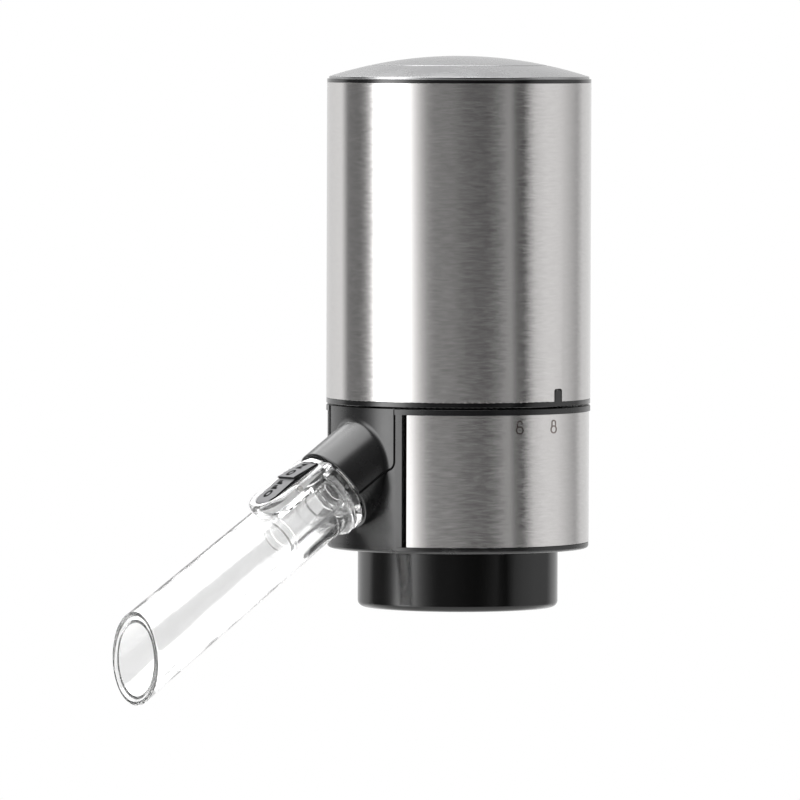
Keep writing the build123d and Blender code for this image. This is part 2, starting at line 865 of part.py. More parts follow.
# Bayonet ring in the housing: slots that let the lugs in, and a stop at each end of their travel
ring_low = band_top - bayonet_ring_height
slot_r = ring_outer_r - bayonet_ring_wall
with BuildPart() as lug_slots:
    revolve(
        section(
            (skirt_r, ring_low - overrun),
            (slot_r, ring_low - overrun),
            (slot_r, parting_low),
            (skirt_r, parting_low),
        ),
        axis=Axis.Z,
    )
with BuildPart() as stop_ring:
    revolve(
        section(
            (ring_inner_r, ring_low - stop_height),
            (ring_outer_r, ring_low - stop_height),
            (ring_outer_r, ring_low),
            (ring_inner_r, ring_low),
        ),
        axis=Axis.Z,
    )
stop_offset = lug_half_angle + stop_clear_angle + stop_half_angle
with BuildPart() as bayonet_ring:
    revolve(
        section(
            (ring_inner_r, ring_low),
            (ring_outer_r, ring_low),
            (ring_outer_r, band_top),
            (ring_inner_r, band_top),
        ),
        axis=Axis.Z,
    )
    for angle in lug_angles:
        slot_half_angle = lug_half_angle + 2 * stop_clear_angle
        slot = fan(slot_half_angle, ring_low - overrun, parting_low, angle - twist_angle)
        add(lug_slots.part & slot, mode=Mode.SUBTRACT)
        for stop_angle in (angle + stop_offset, angle - twist_angle - stop_offset):
            add(stop_ring.part & fan(stop_half_angle, ring_low - stop_height, ring_low, stop_angle))
bayonet_ring.part.label = "bayonet_ring"
export_step(bayonet_ring.part, "parts/bayonet_ring.step")


def tick(width, height, round_radius):
    """The outline of the tick tab, standing on the sleeve's lower edge where the tick points."""
    lean = radians(tab_angle)
    outwards = Vector(cos(lean), sin(lean), 0)
    plane = Plane(origin=(0, 0, sleeve_low), x_dir=(-outwards.Y, outwards.X, 0), z_dir=outwards)
    with BuildSketch(plane) as drawn:
        Rectangle(width, 2 * height)
        fillet(drawn.vertices(), round_radius)
    return drawn.sketch


# Bezel ring: the upper unit's foot, with the tick tab outside and the bayonet skirt and lugs below
with BuildPart() as tick_tab:
    extrude(tick(tab_width, tab_height, tab_round), amount=body_r + overrun)
with BuildPart() as tick_notch:
    extrude(tick(tab_width + 2 * tab_gap, tab_height + tab_gap, tab_round), amount=body_r + overrun)
with BuildPart() as tab_ring:
    revolve(
        section(
            (spigot_r, sleeve_low),
            (body_r, sleeve_low),
            (body_r, sleeve_low + 2 * tab_height),
            (spigot_r, sleeve_low + 2 * tab_height),
        ),
        axis=Axis.Z,
    )
with BuildPart() as lug_ring:
    revolve(
        section(
            (skirt_r, parting_high - skirt_drop),
            (lug_r, parting_high - skirt_drop),
            (lug_r, parting_high - skirt_drop + lug_height),
            (skirt_r, parting_high - skirt_drop + lug_height),
        ),
        axis=Axis.Z,
    )
with BuildPart() as bezel_ring:
    revolve(
        section(
            (skirt_r - skirt_wall, parting_high - skirt_drop),
            (skirt_r, parting_high - skirt_drop),
            (skirt_r, parting_high),
            (body_r, parting_high),
            (body_r, sleeve_low),
            (spigot_r, sleeve_low),
            (spigot_r, sleeve_low + bezel_spigot_height),
            (spigot_r - bezel_spigot_wall, sleeve_low + bezel_spigot_height),
            (spigot_r - bezel_spigot_wall, plate_top),
            (skirt_r, plate_top),
            (skirt_r, cage_low),
            (skirt_r - skirt_wall, cage_low),
        ),
        axis=Axis.Z,
    )
    fillet(rims(bezel_ring, Axis.Z, body_r, parting_high), rim_round)
    add(tick_tab.part & tab_ring.part)
    for angle in lug_angles:
        add(lug_ring.part & fan(lug_half_angle, 0, band_top, angle))
    rods(bezel_screws_at, plate_top, cage_low, screw_boss_dia)
    rods(bezel_screws_at, parting_high, cage_low, screw_dia + running_gap, mode=Mode.SUBTRACT)
    recess_high = parting_high + bezel_screw_recess
    rods(bezel_screws_at, 0, recess_high, screw_head_dia + running_gap, mode=Mode.SUBTRACT)
bezel_ring.part.label = "bezel_ring"
export_step(bezel_ring.part, "parts/bezel_ring.step")

with BuildPart() as bezel_screws:
    head_low = parting_high + bezel_screw_recess - screw_head_height
    shank_high = cage_low + cage_disc_height - running_gap
    add(screws(bezel_screws_at, head_low, screw_head_height, head_low, shank_high))
bezel_screws.part.label = "bezel_screws"
export_step(bezel_screws.part, "parts/bezel_screws.step")

# Upper steel sleeve, notched over the tick tab
with BuildPart() as upper_sleeve:
    with BuildSketch(Plane.XY.offset(sleeve_low)):
        Circle(body_r)
        Circle(sleeve_bore_r, mode=Mode.SUBTRACT)
    extrude(amount=sleeve_height)
    for end in (sleeve_low, sleeve_top):
        fillet(rims(upper_sleeve, Axis.Z, body_r, end), sheet_round)
    add(tick_notch.part, mode=Mode.SUBTRACT)
upper_sleeve.part.label = "upper_sleeve"
export_step(upper_sleeve.part, "parts/upper_sleeve.step")

# Battery cage: two discs joined by a fluted core that holds four cells
cells_at = ring_of(4, cell_circle_dia, 45)
pins_at = [place for outer, bore in contact_ring_dias for place in ring_of(2, (outer + bore) / 2)]
disc_top = cage_low + cage_disc_height


def bridge(first, second, low):
    """A contact strip that joins the ends of two neighbouring cells."""
    middle = (Vector(*first) + Vector(*second)) * 0.5
    run = Vector(*second) - Vector(*first)
    with BuildSketch(Plane(origin=(middle.X, middle.Y, low), x_dir=run)) as strip:
        SlotCenterToCenter(run.length, contact_width)
    return strip.sketch


top_bridges = [bridge(cells_at[0], cells_at[1], cell_top), bridge(cells_at[2], cells_at[3], cell_top)]
bottom_bridge = bridge(cells_at[1], cells_at[2], disc_top)
bottom_pads_at = [cells_at[0], cells_at[3]]

with BuildPart() as battery_cage:
    rods([(0, 0)], cage_low, disc_top, 2 * (spigot_r - bezel_spigot_wall - running_gap))
    rods([(0, 0)], disc_top, cage_disc_low, cage_core_dia)
    rods([(0, 0)], cage_disc_low, cage_top, 2 * (spigot_r - running_gap))
    rods(cells_at, disc_top, cage_disc_low, cell_dia + 2 * cell_clearance, mode=Mode.SUBTRACT)
    for strip in top_bridges:
        extrude(strip, amount=contact_thickness, mode=Mode.SUBTRACT)
    extrude(bottom_bridge, amount=contact_thickness, mode=Mode.SUBTRACT)
    rods(pins_at, cage_low, disc_top, contact_pin_dia + 2 * press_gap, mode=Mode.SUBTRACT)
    rods(bezel_screws_at, cage_low, disc_top, screw_dia + press_gap, mode=Mode.SUBTRACT)
    rods(cap_screws_at, cage_disc_low, cage_top, screw_dia + running_gap, mode=Mode.SUBTRACT)
    rods(ring_of(3, switch_post_circle, 30), cage_top, switch_board_low, post_dia)
battery_cage.part.label = "battery_cage"
export_step(battery_cage.part, "parts/battery_cage.step")

# Four battery cells, up and down in turn
for index, place in enumerate(cells_at):
    nub_up = index % 2 == 0
    body_low = cell_low if nub_up else cell_low + cell_nub_height
    with BuildPart() as battery_cell:
        rods([place], body_low, body_low + cell_length - cell_nub_height, cell_dia)
        fillet(battery_cell.edges().filter_by(GeomType.CIRCLE), cell_clearance)
        rods([place], cell_low, cell_top, cell_nub_dia)
    battery_cell.part.label = f"battery_cell_{index + 1}"
    export_step(battery_cell.part, f"parts/battery_cell_{index + 1}.step")

with BuildPart() as cell_contacts_top:
    for strip in top_bridges:
        extrude(strip, amount=contact_thickness)
cell_contacts_top.part.label = "cell_contacts_top"
export_step(cell_contacts_top.part, "parts/cell_contacts_top.step")

with BuildPart() as cell_contacts_bottom:
    extrude(bottom_bridge, amount=contact_thickness)
    rods(bottom_pads_at, disc_top, cell_low, contact_width)
cell_contacts_bottom.part.label = "cell_contacts_bottom"
export_step(cell_contacts_bottom.part, "parts/cell_contacts_bottom.step")

# Sprung pins that reach down to the contact rings
with BuildPart() as contact_pins:
    rods(pins_at, contact_top + body_gap, disc_top - press_gap, contact_pin_dia)
contact_pins.part.label = "contact_pins"
export_step(contact_pins.part, "parts/contact_pins.step")

# Cap rim: the thin dark ring on top of the sleeve, with its spigot inside and a ledge for the dome
with BuildPart() as cap_rim:
    revolve(
        section(
            (spigot_r - cap_spigot_wall, cage_top),
            (spigot_r, cage_top),
            (spigot_r, sleeve_top),
            (body_r, sleeve_top),
            (body_r, rim_top),
            (dome_foot_r + press_gap, rim_top),
            (dome_foot_r + press_gap, ledge_top),
            (button_skirt_r + body_gap, ledge_top),
            (button_skirt_r + body_gap, ledge_low),
            (spigot_r - cap_spigot_wall, ledge_low),
        ),
        axis=Axis.Z,
    )
    fillet(rims(cap_rim, Axis.Z, body_r, rim_top), rim_round)
    rods(cap_screws_at, cage_top, ledge_low, screw_boss_dia)
    rods(cap_screws_at, cage_top, ledge_low, screw_dia + press_gap, mode=Mode.SUBTRACT)
cap_rim.part.label = "cap_rim"
export_step(cap_rim.part, "parts/cap_rim.step")

with BuildPart() as cap_screws:
    head_low = cage_disc_low - screw_head_height
    add(screws(cap_screws_at, head_low, screw_head_height, cage_disc_low, ledge_low - overrun))
cap_screws.part.label = "cap_screws"
export_step(cap_screws.part, "parts/cap_screws.step")

# Dome ring and button share one shallow sphere, and the dome stands on two feet in the rim
inner_foot_r = dome_bore_r + dome_foot_width
outer_foot_r = dome_foot_r - dome_foot_width


def dome_arc(first_r, last_r, drop=0.0):
    """An arc of the dome, or of its underside, between two radii."""
    middle_r = (first_r + last_r) / 2
    ThreePointArc(
        (first_r, dome_z(first_r) - drop),
        (middle_r, dome_z(middle_r) - drop),
        (last_r, dome_z(last_r) - drop),
    )


with BuildPart() as cap_dome:
    with BuildSketch(Plane.XZ):
        with BuildLine():
            dome_arc(dome_bore_r, dome_edge_r)
            Polyline(
                (dome_edge_r, dome_z(dome_edge_r)),
                (dome_edge_r, rim_top),
                (dome_foot_r, rim_top),
                (dome_foot_r, ledge_top),
                (outer_foot_r, ledge_top),
                (outer_foot_r, dome_z(outer_foot_r) - dome_shell),
            )
            dome_arc(outer_foot_r, inner_foot_r, dome_shell)
            Polyline(
                (inner_foot_r, dome_z(inner_foot_r) - dome_shell),
                (inner_foot_r, ledge_top),
                (dome_bore_r, ledge_top),
                (dome_bore_r, dome_z(dome_bore_r)),
            )
        make_face()
    revolve(axis=Axis.Z)
    fillet(rims(cap_dome, Axis.Z, dome_bore_r, dome_z(dome_bore_r)), rim_round)
    fillet(rims(cap_dome, Axis.Z, dome_edge_r, dome_z(dome_edge_r)), rim_round)
cap_dome.part.label = "cap_dome"
export_step(cap_dome.part, "parts/cap_dome.step")

# Power button, with a skirt whose hooks catch under the ledge
button_side_low = dome_z(button_r) - button_edge_height
button_skirt_bore_r = button_skirt_r - button_skirt_wall
roof = apex - button_roof_drop
hook_top = ledge_low - body_gap
hook_low = hook_top - hook_height
with BuildPart() as hook_ring:
    revolve(
        section(
            (button_skirt_bore_r, hook_low),
            (button_skirt_r, hook_low),
            (button_skirt_r + hook_reach, hook_top - hook_height / 2),
            (button_skirt_r + hook_reach, hook_top),
            (button_skirt_bore_r, hook_top),
        ),
        axis=Axis.Z,
    )
with BuildPart() as power_button:
    with BuildSketch(Plane.XZ):
        with BuildLine():
            dome_arc(0, button_r)
            Polyline(
                (button_r, dome_z(button_r)),
                (button_r, button_side_low),
                (button_skirt_r, button_side_low),
                (button_skirt_r, hook_low),
                (button_skirt_bore_r, hook_low),
                (button_skirt_bore_r, roof),
                (0, roof),
                (0, apex),
            )
        make_face()
    revolve(axis=Axis.Z)
    fillet(rims(power_button, Axis.Z, button_r, dome_z(button_r)), rim_round)
    for angle in lug_angles:
        add(hook_ring.part & fan(hook_half_angle, 0, apex, angle))
    plunger_low = switch_board_top + switch_height + switch_nub_height + button_travel + press_gap
    rods([(0, 0)], plunger_low, roof, plunger_dia)
power_button.part.label = "power_button"
export_step(power_button.part, "parts/power_button.step")

# Switch board, its switch and the button's spring
with BuildPart() as switch_board:
    rods([(0, 0)], switch_board_low, switch_board_top, switch_board_dia)
switch_board.part.label = "switch_board"
export_step(switch_board.part, "parts/switch_board.step")

with BuildPart() as button_switch:
    with BuildSketch(Plane.XY.offset(switch_board_top)):
        Rectangle(switch_size, switch_size)
    extrude(amount=switch_height)
    rods([(0, 0)], switch_board_top, switch_board_top + switch_height + switch_nub_height, switch_nub_dia)
button_switch.part.label = "button_switch"
export_step(button_switch.part, "parts/button_switch.step")

spring_low = switch_board_top + spring_wire / 2 + press_gap
spring_high = roof - spring_wire / 2 - press_gap
spring_line = winding(spring_dia / 2, spring_low, spring_high, spring_turns)
spring_gap = least_gap(spring_line, spring_wire, spring_turns, spring_samples)
print("least gap of the button spring to itself:", round(spring_gap, 3), "mm")
with BuildPart() as button_spring:
    with BuildSketch(Plane(origin=spring_line @ 0, z_dir=spring_line % 0)):
        Circle(spring_wire / 2)
    sweep(path=spring_line)
button_spring.part.label = "button_spring"
export_step(button_spring.part, "parts/button_spring.step")


# Clear spout: spigot with its ring grooves, collar, boss and tapering tube cut upright at the mouth
def tube_r(place):
    """The spout's outer radius at a place along it."""
    return (tube_start_dia + (tube_mouth_dia - tube_start_dia) * place / spout_length) / 2


def boss_top(place):
    """The height of the boss above the spout's axis at a place along it."""
    return boss_root_height + (boss_tip_height - boss_root_height) * place / boss_end


def slab(width, *points):
    """A plate across the spout with this side outline, each corner a height and a place along it."""
    with BuildPart() as plate:
        extrude(along_spout(*points), amount=width / 2, both=True)
    return plate.part


def stadium(width, start, end, height):
    """An outline square at the nozzle's end and round at the other, at a height above the spout's axis."""
    straight = end - start - width / 2
    with BuildSketch(spout_top.offset(height)) as drawn:
        with Locations((0, -start)):
            Rectangle(width, straight, align=(Align.CENTER, Align.MAX))
        with Locations((0, -start - straight)):
            Circle(width / 2)
    return drawn.sketch


tube_end = spout_length + tube_mouth_dia
collar_r = nozzle_dia / 2 - collar_inset
step_ring_r = collar_r - step_ring_drop
seat_r = nozzle_rebate_dia / 2 - seat_gap
collar_end = collar_start + collar_length
step_end = collar_end + step_ring_length
spigot_side = spigot_dia / 2
groove_r = spigot_side - ring_groove_depth
grooves = []
for place in reversed(ring_places):
    grooves += [
        (spigot_side, -place - ring_groove_width / 2),
        (groove_r, -place - ring_groove_width / 2),
        (groove_r, -place + ring_groove_width / 2),
        (spigot_side, -place + ring_groove_width / 2),
    ]
mouth_y = nozzle_face_y + spout_length * down_spout.Y
with BuildPart() as beyond_mouth:
    with BuildSketch(Plane(origin=(0, mouth_y, 0), z_dir=(0, -1, 0))):
        Rectangle(2 * body_dia, 2 * body_dia)
    extrude(amount=body_dia)
boss_block = slab(
    boss_width,
    (boss_under_height, collar_start),
    (boss_top(collar_start), collar_start),
    (boss_top(boss_end), boss_end),
    (boss_under_height, boss_end),
)
with BuildPart() as boss:
    extrude(stadium(boss_width, collar_start, boss_end, 0), amount=body_dia)
    add(boss_block, mode=Mode.INTERSECT)
    fillet(boss.faces().sort_by(Axis(nozzle_face, out_of_top))[-1].edges(), boss_round)
pocket_start = rocker_start - rocker_gap
pocket_end = rocker_start + rocker_length + rocker_gap
with BuildPart() as spout_tube:
    revolve(
        along_spout(
            (spigot_bore / 2, -spigot_length),
            (spigot_side, -spigot_length),
            *grooves,
            (spigot_side, -spout_end_wall),
            (seat_r, -spout_end_wall),
            (seat_r, collar_start),
            (collar_r, collar_start),
            (collar_r, collar_end),
            (step_ring_r, collar_end),
            (step_ring_r, step_end),
            (tube_r(step_end), step_end),
            (tube_r(tube_end), tube_end),
            (tube_r(tube_end) - spout_tip_shell, tube_end),
            (tube_r(spout_end_wall) - spout_shell, spout_end_wall),
            (spigot_bore / 2, spout_end_wall),
        ),
        axis=spout_axis,
    )
    for place in (collar_start, collar_end):
        fillet(rims(spout_tube, spout_axis, collar_r, place), moulded_round)
    fillet(rims(spout_tube, spout_axis, step_ring_r, step_end), step_round)
    add(boss.part)
    pocket = stadium(rocker_width + 2 * rocker_gap, pocket_start, pocket_end, boss_floor_height)
    extrude(pocket, amount=body_dia, mode=Mode.SUBTRACT)
    add(beyond_mouth.part, mode=Mode.SUBTRACT)
    fillet(spout_tube.faces().sort_by(Axis.Y)[0].edges(), moulded_round)
    with BuildSketch(spout_top):
        with Locations((0, -stem_at)):
            Circle(bush_dia / 2 + press_gap)
    extrude(amount=boss_floor_height + overrun, mode=Mode.SUBTRACT)
    pivot = nozzle_face + down_spout * rocker_pivot_at + out_of_top * rocker_pivot_height
    pin_plane = Plane(origin=pivot, z_dir=(1, 0, 0))
    with BuildSketch(pin_plane):
        Circle(pivot_pin_dia / 2 + press_gap)
    extrude(amount=pivot_pin_length / 2 + press_gap, both=True, mode=Mode.SUBTRACT)
spout_tube.part.label = "spout_tube"
export_step(spout_tube.part, "parts/spout_tube.step")

with BuildPart() as spout_rings:
    for place in ring_places:
        with Locations(Plane(origin=nozzle_face - down_spout * place, z_dir=down_spout)):
            Torus(groove_r + ring_section_dia / 2, ring_section_dia / 2)
spout_rings.part.label = "spout_rings"
export_step(spout_rings.part, "parts/spout_rings.step")

# Inner channel: carries the wine from the end wall, past a joint ring, to the flared mouth
channel_start = spout_end_wall + press_gap
joint_end = channel_joint_at + channel_joint_length
channel_r = channel_dia / 2
channel_flare = (channel_mouth_dia - channel_dia) / 2 / (spout_length - joint_end)
channel_end_r = channel_r + channel_flare * (tube_end - joint_end)
with BuildPart() as spout_channel:
    revolve(
        along_spout(
            (channel_r - channel_wall, channel_start),
            (channel_r, channel_start),
            (channel_r, channel_joint_at),
            (channel_joint_dia / 2, channel_joint_at),
            (channel_joint_dia / 2, joint_end),
            (channel_r, joint_end),
            (channel_end_r, tube_end),
            (channel_end_r - channel_tip_wall, tube_end),
            (channel_r - channel_wall, joint_end),
        ),
        axis=spout_axis,
    )
    add(beyond_mouth.part.translate((0, channel_mouth_gap, 0)), mode=Mode.SUBTRACT)
    with BuildSketch(spout_top):
        with Locations((0, -stem_at)):
            Circle(stem_port_dia / 2)
    extrude(amount=body_dia, mode=Mode.SUBTRACT)
spout_channel.part.label = "spout_channel"
export_step(spout_channel.part, "parts/spout_channel.step")

# Rocker: a roof with a step at its ridge, and hollowed underneath so that it can tip
rocker_end = rocker_start + rocker_length
rocker_side = slab(
    rocker_width,
    (rocker_rear_under_height, rocker_start),
    (boss_top(rocker_start) + rocker_rear_rise, rocker_start),
    (boss_top(rocker_ridge_at) + rocker_ridge_rise, rocker_ridge_at),
    (boss_top(rocker_ridge_at) + rocker_ridge_rise - rocker_step, rocker_ridge_at),
    (boss_top(rocker_end) - rocker_tip_drop, rocker_end),
    (rocker_tip_under_height, rocker_end),
    (rocker_under_height, rocker_pivot_at),
)
with BuildPart() as valve_rocker:
    extrude(stadium(rocker_width, rocker_start, rocker_end, 0), amount=body_dia)
    add(rocker_side, mode=Mode.INTERSECT)
    upper_faces = valve_rocker.faces().sort_by(Axis(nozzle_face, out_of_top))[-3:].sort_by(SortBy.AREA)[-2:]
    side_edges = upper_faces.edges().filter_by(lambda edge: abs(edge.length - rocker_width) > match)
    fillet(side_edges, rocker_round)
    with BuildSketch(pin_plane):
        Circle(pivot_pin_dia / 2 + running_gap)
    extrude(amount=rocker_width, both=True, mode=Mode.SUBTRACT)
valve_rocker.part.label = "valve_rocker"
export_step(valve_rocker.part, "parts/valve_rocker.step")

with BuildPart() as rocker_pin:
    with BuildSketch(pin_plane):
        Circle(pivot_pin_dia / 2)
    extrude(amount=pivot_pin_length / 2, both=True)
rocker_pin.part.label = "rocker_pin"
export_step(rocker_pin.part, "parts/rocker_pin.step")

# Valve bush in the boss floor, and the stem that the rocker pushes through it
stem_base = nozzle_face + down_spout * stem_at
stem_axis = Axis(stem_base, out_of_top)
stem_side = Plane(origin=stem_base, x_dir=down_spout, z_dir=down_spout.cross(out_of_top))
with BuildPart() as valve_bush:
    revolve(
        outline(
            stem_side,
            (stem_shaft_dia / 2 + running_gap, bush_low),
            (bush_dia / 2, bush_low),
            (bush_dia / 2, bush_high),
            (stem_shaft_dia / 2 + running_gap, bush_high),
        ),
        axis=stem_axis,
    )
valve_bush.part.label = "valve_bush"
export_step(valve_bush.part, "parts/valve_bush.step")

cone_high = bush_low - stem_seat_gap
with BuildPart() as valve_stem:
    revolve(
        outline(
            stem_side,
            (0, cone_high - stem_cone_height),
            (stem_shaft_dia / 2, cone_high - stem_cone_height),
            (stem_cone_dia / 2, cone_high),
            (stem_shaft_dia / 2, cone_high),
            (stem_shaft_dia / 2, stem_head_low),
            (stem_head_dia / 2, stem_head_low),
            (stem_head_dia / 2, stem_head_low + stem_head_height),
            (0, stem_head_low + stem_head_height),
        ),
        axis=stem_axis,
    )
valve_stem.part.label = "valve_stem"
export_step(valve_stem.part, "parts/valve_stem.step")
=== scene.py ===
# %% [markdown]
# # A wine aerator with a clear spout
# The object is a barrel of brushed steel over a steel-banded lower unit, with a
# soft black sleeve that grips a bottle's neck and a clear spout that slopes down
# from a black nozzle.
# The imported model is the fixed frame. Every piece made here is in metres in that
# same frame, so each one goes where the frame says, with no fitting by eye.

# %% Load the frame and note its box
import json
import math

import bmesh
import bpy
from mathutils import Matrix, Quaternion, Vector
from mathutils.bvhtree import BVHTree


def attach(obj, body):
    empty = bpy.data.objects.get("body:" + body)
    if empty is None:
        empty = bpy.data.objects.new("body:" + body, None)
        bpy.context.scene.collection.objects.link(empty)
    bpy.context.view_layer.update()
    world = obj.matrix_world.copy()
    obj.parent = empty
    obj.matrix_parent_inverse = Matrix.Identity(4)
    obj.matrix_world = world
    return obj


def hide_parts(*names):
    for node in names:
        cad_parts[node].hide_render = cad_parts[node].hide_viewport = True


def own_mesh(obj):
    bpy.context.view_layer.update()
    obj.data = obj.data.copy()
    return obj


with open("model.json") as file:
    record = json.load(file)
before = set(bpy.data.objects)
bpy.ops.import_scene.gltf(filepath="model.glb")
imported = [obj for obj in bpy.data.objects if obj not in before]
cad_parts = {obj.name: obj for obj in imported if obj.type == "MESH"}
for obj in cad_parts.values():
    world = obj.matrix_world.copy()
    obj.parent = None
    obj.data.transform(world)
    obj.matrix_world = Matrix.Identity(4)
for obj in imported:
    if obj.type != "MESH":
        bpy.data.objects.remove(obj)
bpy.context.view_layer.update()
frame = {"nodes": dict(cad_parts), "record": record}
MM = 0.001

# %% [markdown]
# ## Which body and which finish each node has
# The record lists the bodies that move and the material slot of each node. Two
# lookups made from it save repeating those names at every piece.

# %% Look up each node's body and slot
behaviour = frame["record"]["behaviour"]
body_of = {node: body for body, nodes in behaviour["bodies"].items() for node in nodes}
slot_of = {part["node"]: part["material_slot"] for part in frame["record"]["subparts"]}
print(len(body_of), "nodes,", len(set(slot_of.values())), "slots")

# %% [markdown]
# ## The camera
# The object was taken from far off with a long lens, which is why its upright
# edges stay parallel. A 400 mm lens 1.68 m away gives that. The camera stands
# 2.5 degrees above the barrel's middle, on the side of the spout and the tick
# tab, and is aimed a little beside the axis, so that the spout fits in the frame
# with no lens shift. It leans by a sixth of a degree, as a camera held by hand does.

# %% Place the camera
scene = bpy.context.scene
VIEW_AZIMUTH = math.radians(-37.0)
VIEW_PITCH = math.radians(2.5)
VIEW_DISTANCE = 1.682
VIEW_LEAN = math.radians(0.17)
VIEW_HEIGHT = 39.02 * MM
AIM_ASIDE = 11.03 * MM
LENS = 399.6
NEAREST, FARTHEST = 0.1, 100
to_camera = Vector((math.cos(VIEW_AZIMUTH), math.sin(VIEW_AZIMUTH), 0))
image_right = Vector((-to_camera.y, to_camera.x, 0))
axis_point = Vector((0, 0, VIEW_HEIGHT))
aim_point = axis_point - image_right * AIM_ASIDE
camera = bpy.data.objects.new("camera", bpy.data.cameras.new("camera"))
scene.collection.objects.link(camera)
camera.location = axis_point + VIEW_DISTANCE * (
    to_camera * math.cos(VIEW_PITCH) + Vector((0, 0, math.sin(VIEW_PITCH)))
)
camera.rotation_mode = "QUATERNION"
lean = Quaternion((0, 0, 1), VIEW_LEAN)
camera.rotation_quaternion = (aim_point - camera.location).to_track_quat("-Z", "Y") @ lean
camera.data.lens = LENS
camera.data.clip_start = NEAREST
camera.data.clip_end = FARTHEST
scene.camera = camera
scene.view_settings.view_transform = "Standard"
print("camera at", [round(c, 3) for c in camera.location])

# %% [markdown]
# ## Colours and nodes
# Colours are written as sRGB hex values, as a paint chart gives them, but a
# shader reckons in linear light, so one function turns them. One more adds a
# node to a tree with its settings and its links, so that a material reads as a
# short list of nodes.

# %% Helpers for colours and nodes
def linear(hex_colour):
    """An sRGB hex colour as linear red, green, blue and alpha."""
    parts = [int(hex_colour[i : i + 2], 16) / 255 for i in (1, 3, 5)]
    return tuple(
        c / 12.92 if c <= 0.04045 else ((c + 0.055) / 1.055) ** 2.4 for c in parts
    ) + (1.0,)


def add_node(tree, kind, sockets=None, **settings):
    """Adds a node. sockets maps an input's name or number to a value or an output."""
    made = tree.nodes.new(kind)
    for name, value in settings.items():
        setattr(made, name, value)
    for name, value in (sockets or {}).items():
        if isinstance(value, bpy.types.NodeSocket):
            tree.links.new(value, made.inputs[name])
        else:
            made.inputs[name].default_value = value
    return made


def new_finish(name):
    """A material, its tree, its shader linked to the output, and object coordinates."""
    material = bpy.data.materials.new(name)
    material.use_nodes = True
    tree = material.node_tree
    tree.nodes.clear()
    shader = add_node(tree, "ShaderNodeBsdfPrincipled")
    add_node(tree, "ShaderNodeOutputMaterial", {"Surface": shader.outputs["BSDF"]})
    place = add_node(tree, "ShaderNodeTexCoord").outputs["Object"]
    return material, tree, shader, place


# most of a noise lies between these levels, so a Map Range starts from them
NOISE_SPAN = {"From Min": 0.3, "From Max": 0.7}
finishes = {}
print("white is", linear("#FFFFFF")[:3])

# %% [markdown]
# ## Brushed stainless steel
# The barrel and the lower band are thin stainless sheet, brushed round the body
# with an abrasive belt. The belt leaves hair-fine grooves a centimetre or so
# long, a tenth of a millimetre apart. Across the grooves the surface is rough,
# along them it is nearly a mirror, so lamps show as tall upright streaks.
# An anisotropic metal gives the streaks. A noise that is long round the body and
# short up it gives the hairs: it changes the roughness and colour a little, and
# it leans the normal sideways, which frays the edges of the reflections. Real
# grooves are too fine to show in the render, so the hairs are drawn coarser: 0.3
# mm apart, and with a noise 2.2 mm long that frays the streaks as the real one does.

# %% How the steel is brushed
HAIR_LENGTH = 2.2 * MM
HAIR_SPACING = 0.3 * MM
HAIR_LEAN = 0.008
HAIR_ROUGHNESS = (0.18, 0.26)
STREAK = 0.88
print("steel hairs", HAIR_LENGTH / MM, "mm long and", HAIR_SPACING / MM, "mm apart")


# %% Make the brushed steel
def brushed_steel(name, dark, light):
    """Steel brushed round the Z axis, its colour between two hex values."""
    material, tree, shader, place = new_finish(name)
    hair_place = add_node(
        tree, "ShaderNodeMapping",
        {"Vector": place, "Scale": (1 / HAIR_LENGTH, 1 / HAIR_LENGTH, 1 / HAIR_SPACING)},
    ).outputs["Vector"]
    hair = add_node(
        tree, "ShaderNodeTexNoise",
        {"Vector": hair_place, "Scale": 1.0, "Detail": 3.0, "Roughness": 0.6},
    ).outputs["Fac"]
    colour = add_node(
        tree, "ShaderNodeMix", {0: hair, 6: linear(dark), 7: linear(light)}, data_type="RGBA"
    ).outputs[2]
    smooth, rough = HAIR_ROUGHNESS
    roughness = add_node(
        tree, "ShaderNodeMapRange", {"Value": hair, **NOISE_SPAN, "To Min": smooth, "To Max": rough}
    ).outputs["Result"]
    # the way round the body, in the world's own directions, is what the hairs lean along
    round_body = add_node(
        tree, "ShaderNodeVectorMath", {0: (0, 0, 1), 1: place}, operation="CROSS_PRODUCT"
    ).outputs["Vector"]
    round_body = add_node(
        tree, "ShaderNodeVectorTransform", {"Vector": round_body},
        vector_type="VECTOR", convert_from="OBJECT", convert_to="WORLD",
    ).outputs["Vector"]
    round_body = add_node(
        tree, "ShaderNodeVectorMath", {0: round_body}, operation="NORMALIZE"
    ).outputs["Vector"]
    lean = add_node(
        tree, "ShaderNodeMapRange",
        {"Value": hair, **NOISE_SPAN, "To Min": -HAIR_LEAN, "To Max": HAIR_LEAN},
    ).outputs["Result"]
    sideways = add_node(
        tree, "ShaderNodeVectorMath", {0: round_body, "Scale": lean}, operation="SCALE"
    ).outputs["Vector"]
    face_normal = add_node(tree, "ShaderNodeNewGeometry").outputs["Normal"]
    frayed = add_node(
        tree, "ShaderNodeVectorMath", {0: face_normal, 1: sideways}, operation="ADD"
    ).outputs["Vector"]
    frayed = add_node(
        tree, "ShaderNodeVectorMath", {0: frayed}, operation="NORMALIZE"
    ).outputs["Vector"]
    up_the_wall = add_node(tree, "ShaderNodeCombineXYZ", {"Z": 1.0}).outputs["Vector"]
    shader.inputs["Metallic"].default_value = 1.0
    shader.inputs["Anisotropic"].default_value = STREAK
    tree.links.new(colour, shader.inputs["Base Color"])
    tree.links.new(roughness, shader.inputs["Roughness"])
    tree.links.new(frayed, shader.inputs["Normal"])
    tree.links.new(up_the_wall, shader.inputs["Tangent"])
    return material


finishes["brushed_steel"] = brushed_steel("stainless_steel_brushed", "#BEBCBB", "#CECCCB")
print("the steel has", len(finishes["brushed_steel"].node_tree.nodes), "nodes")

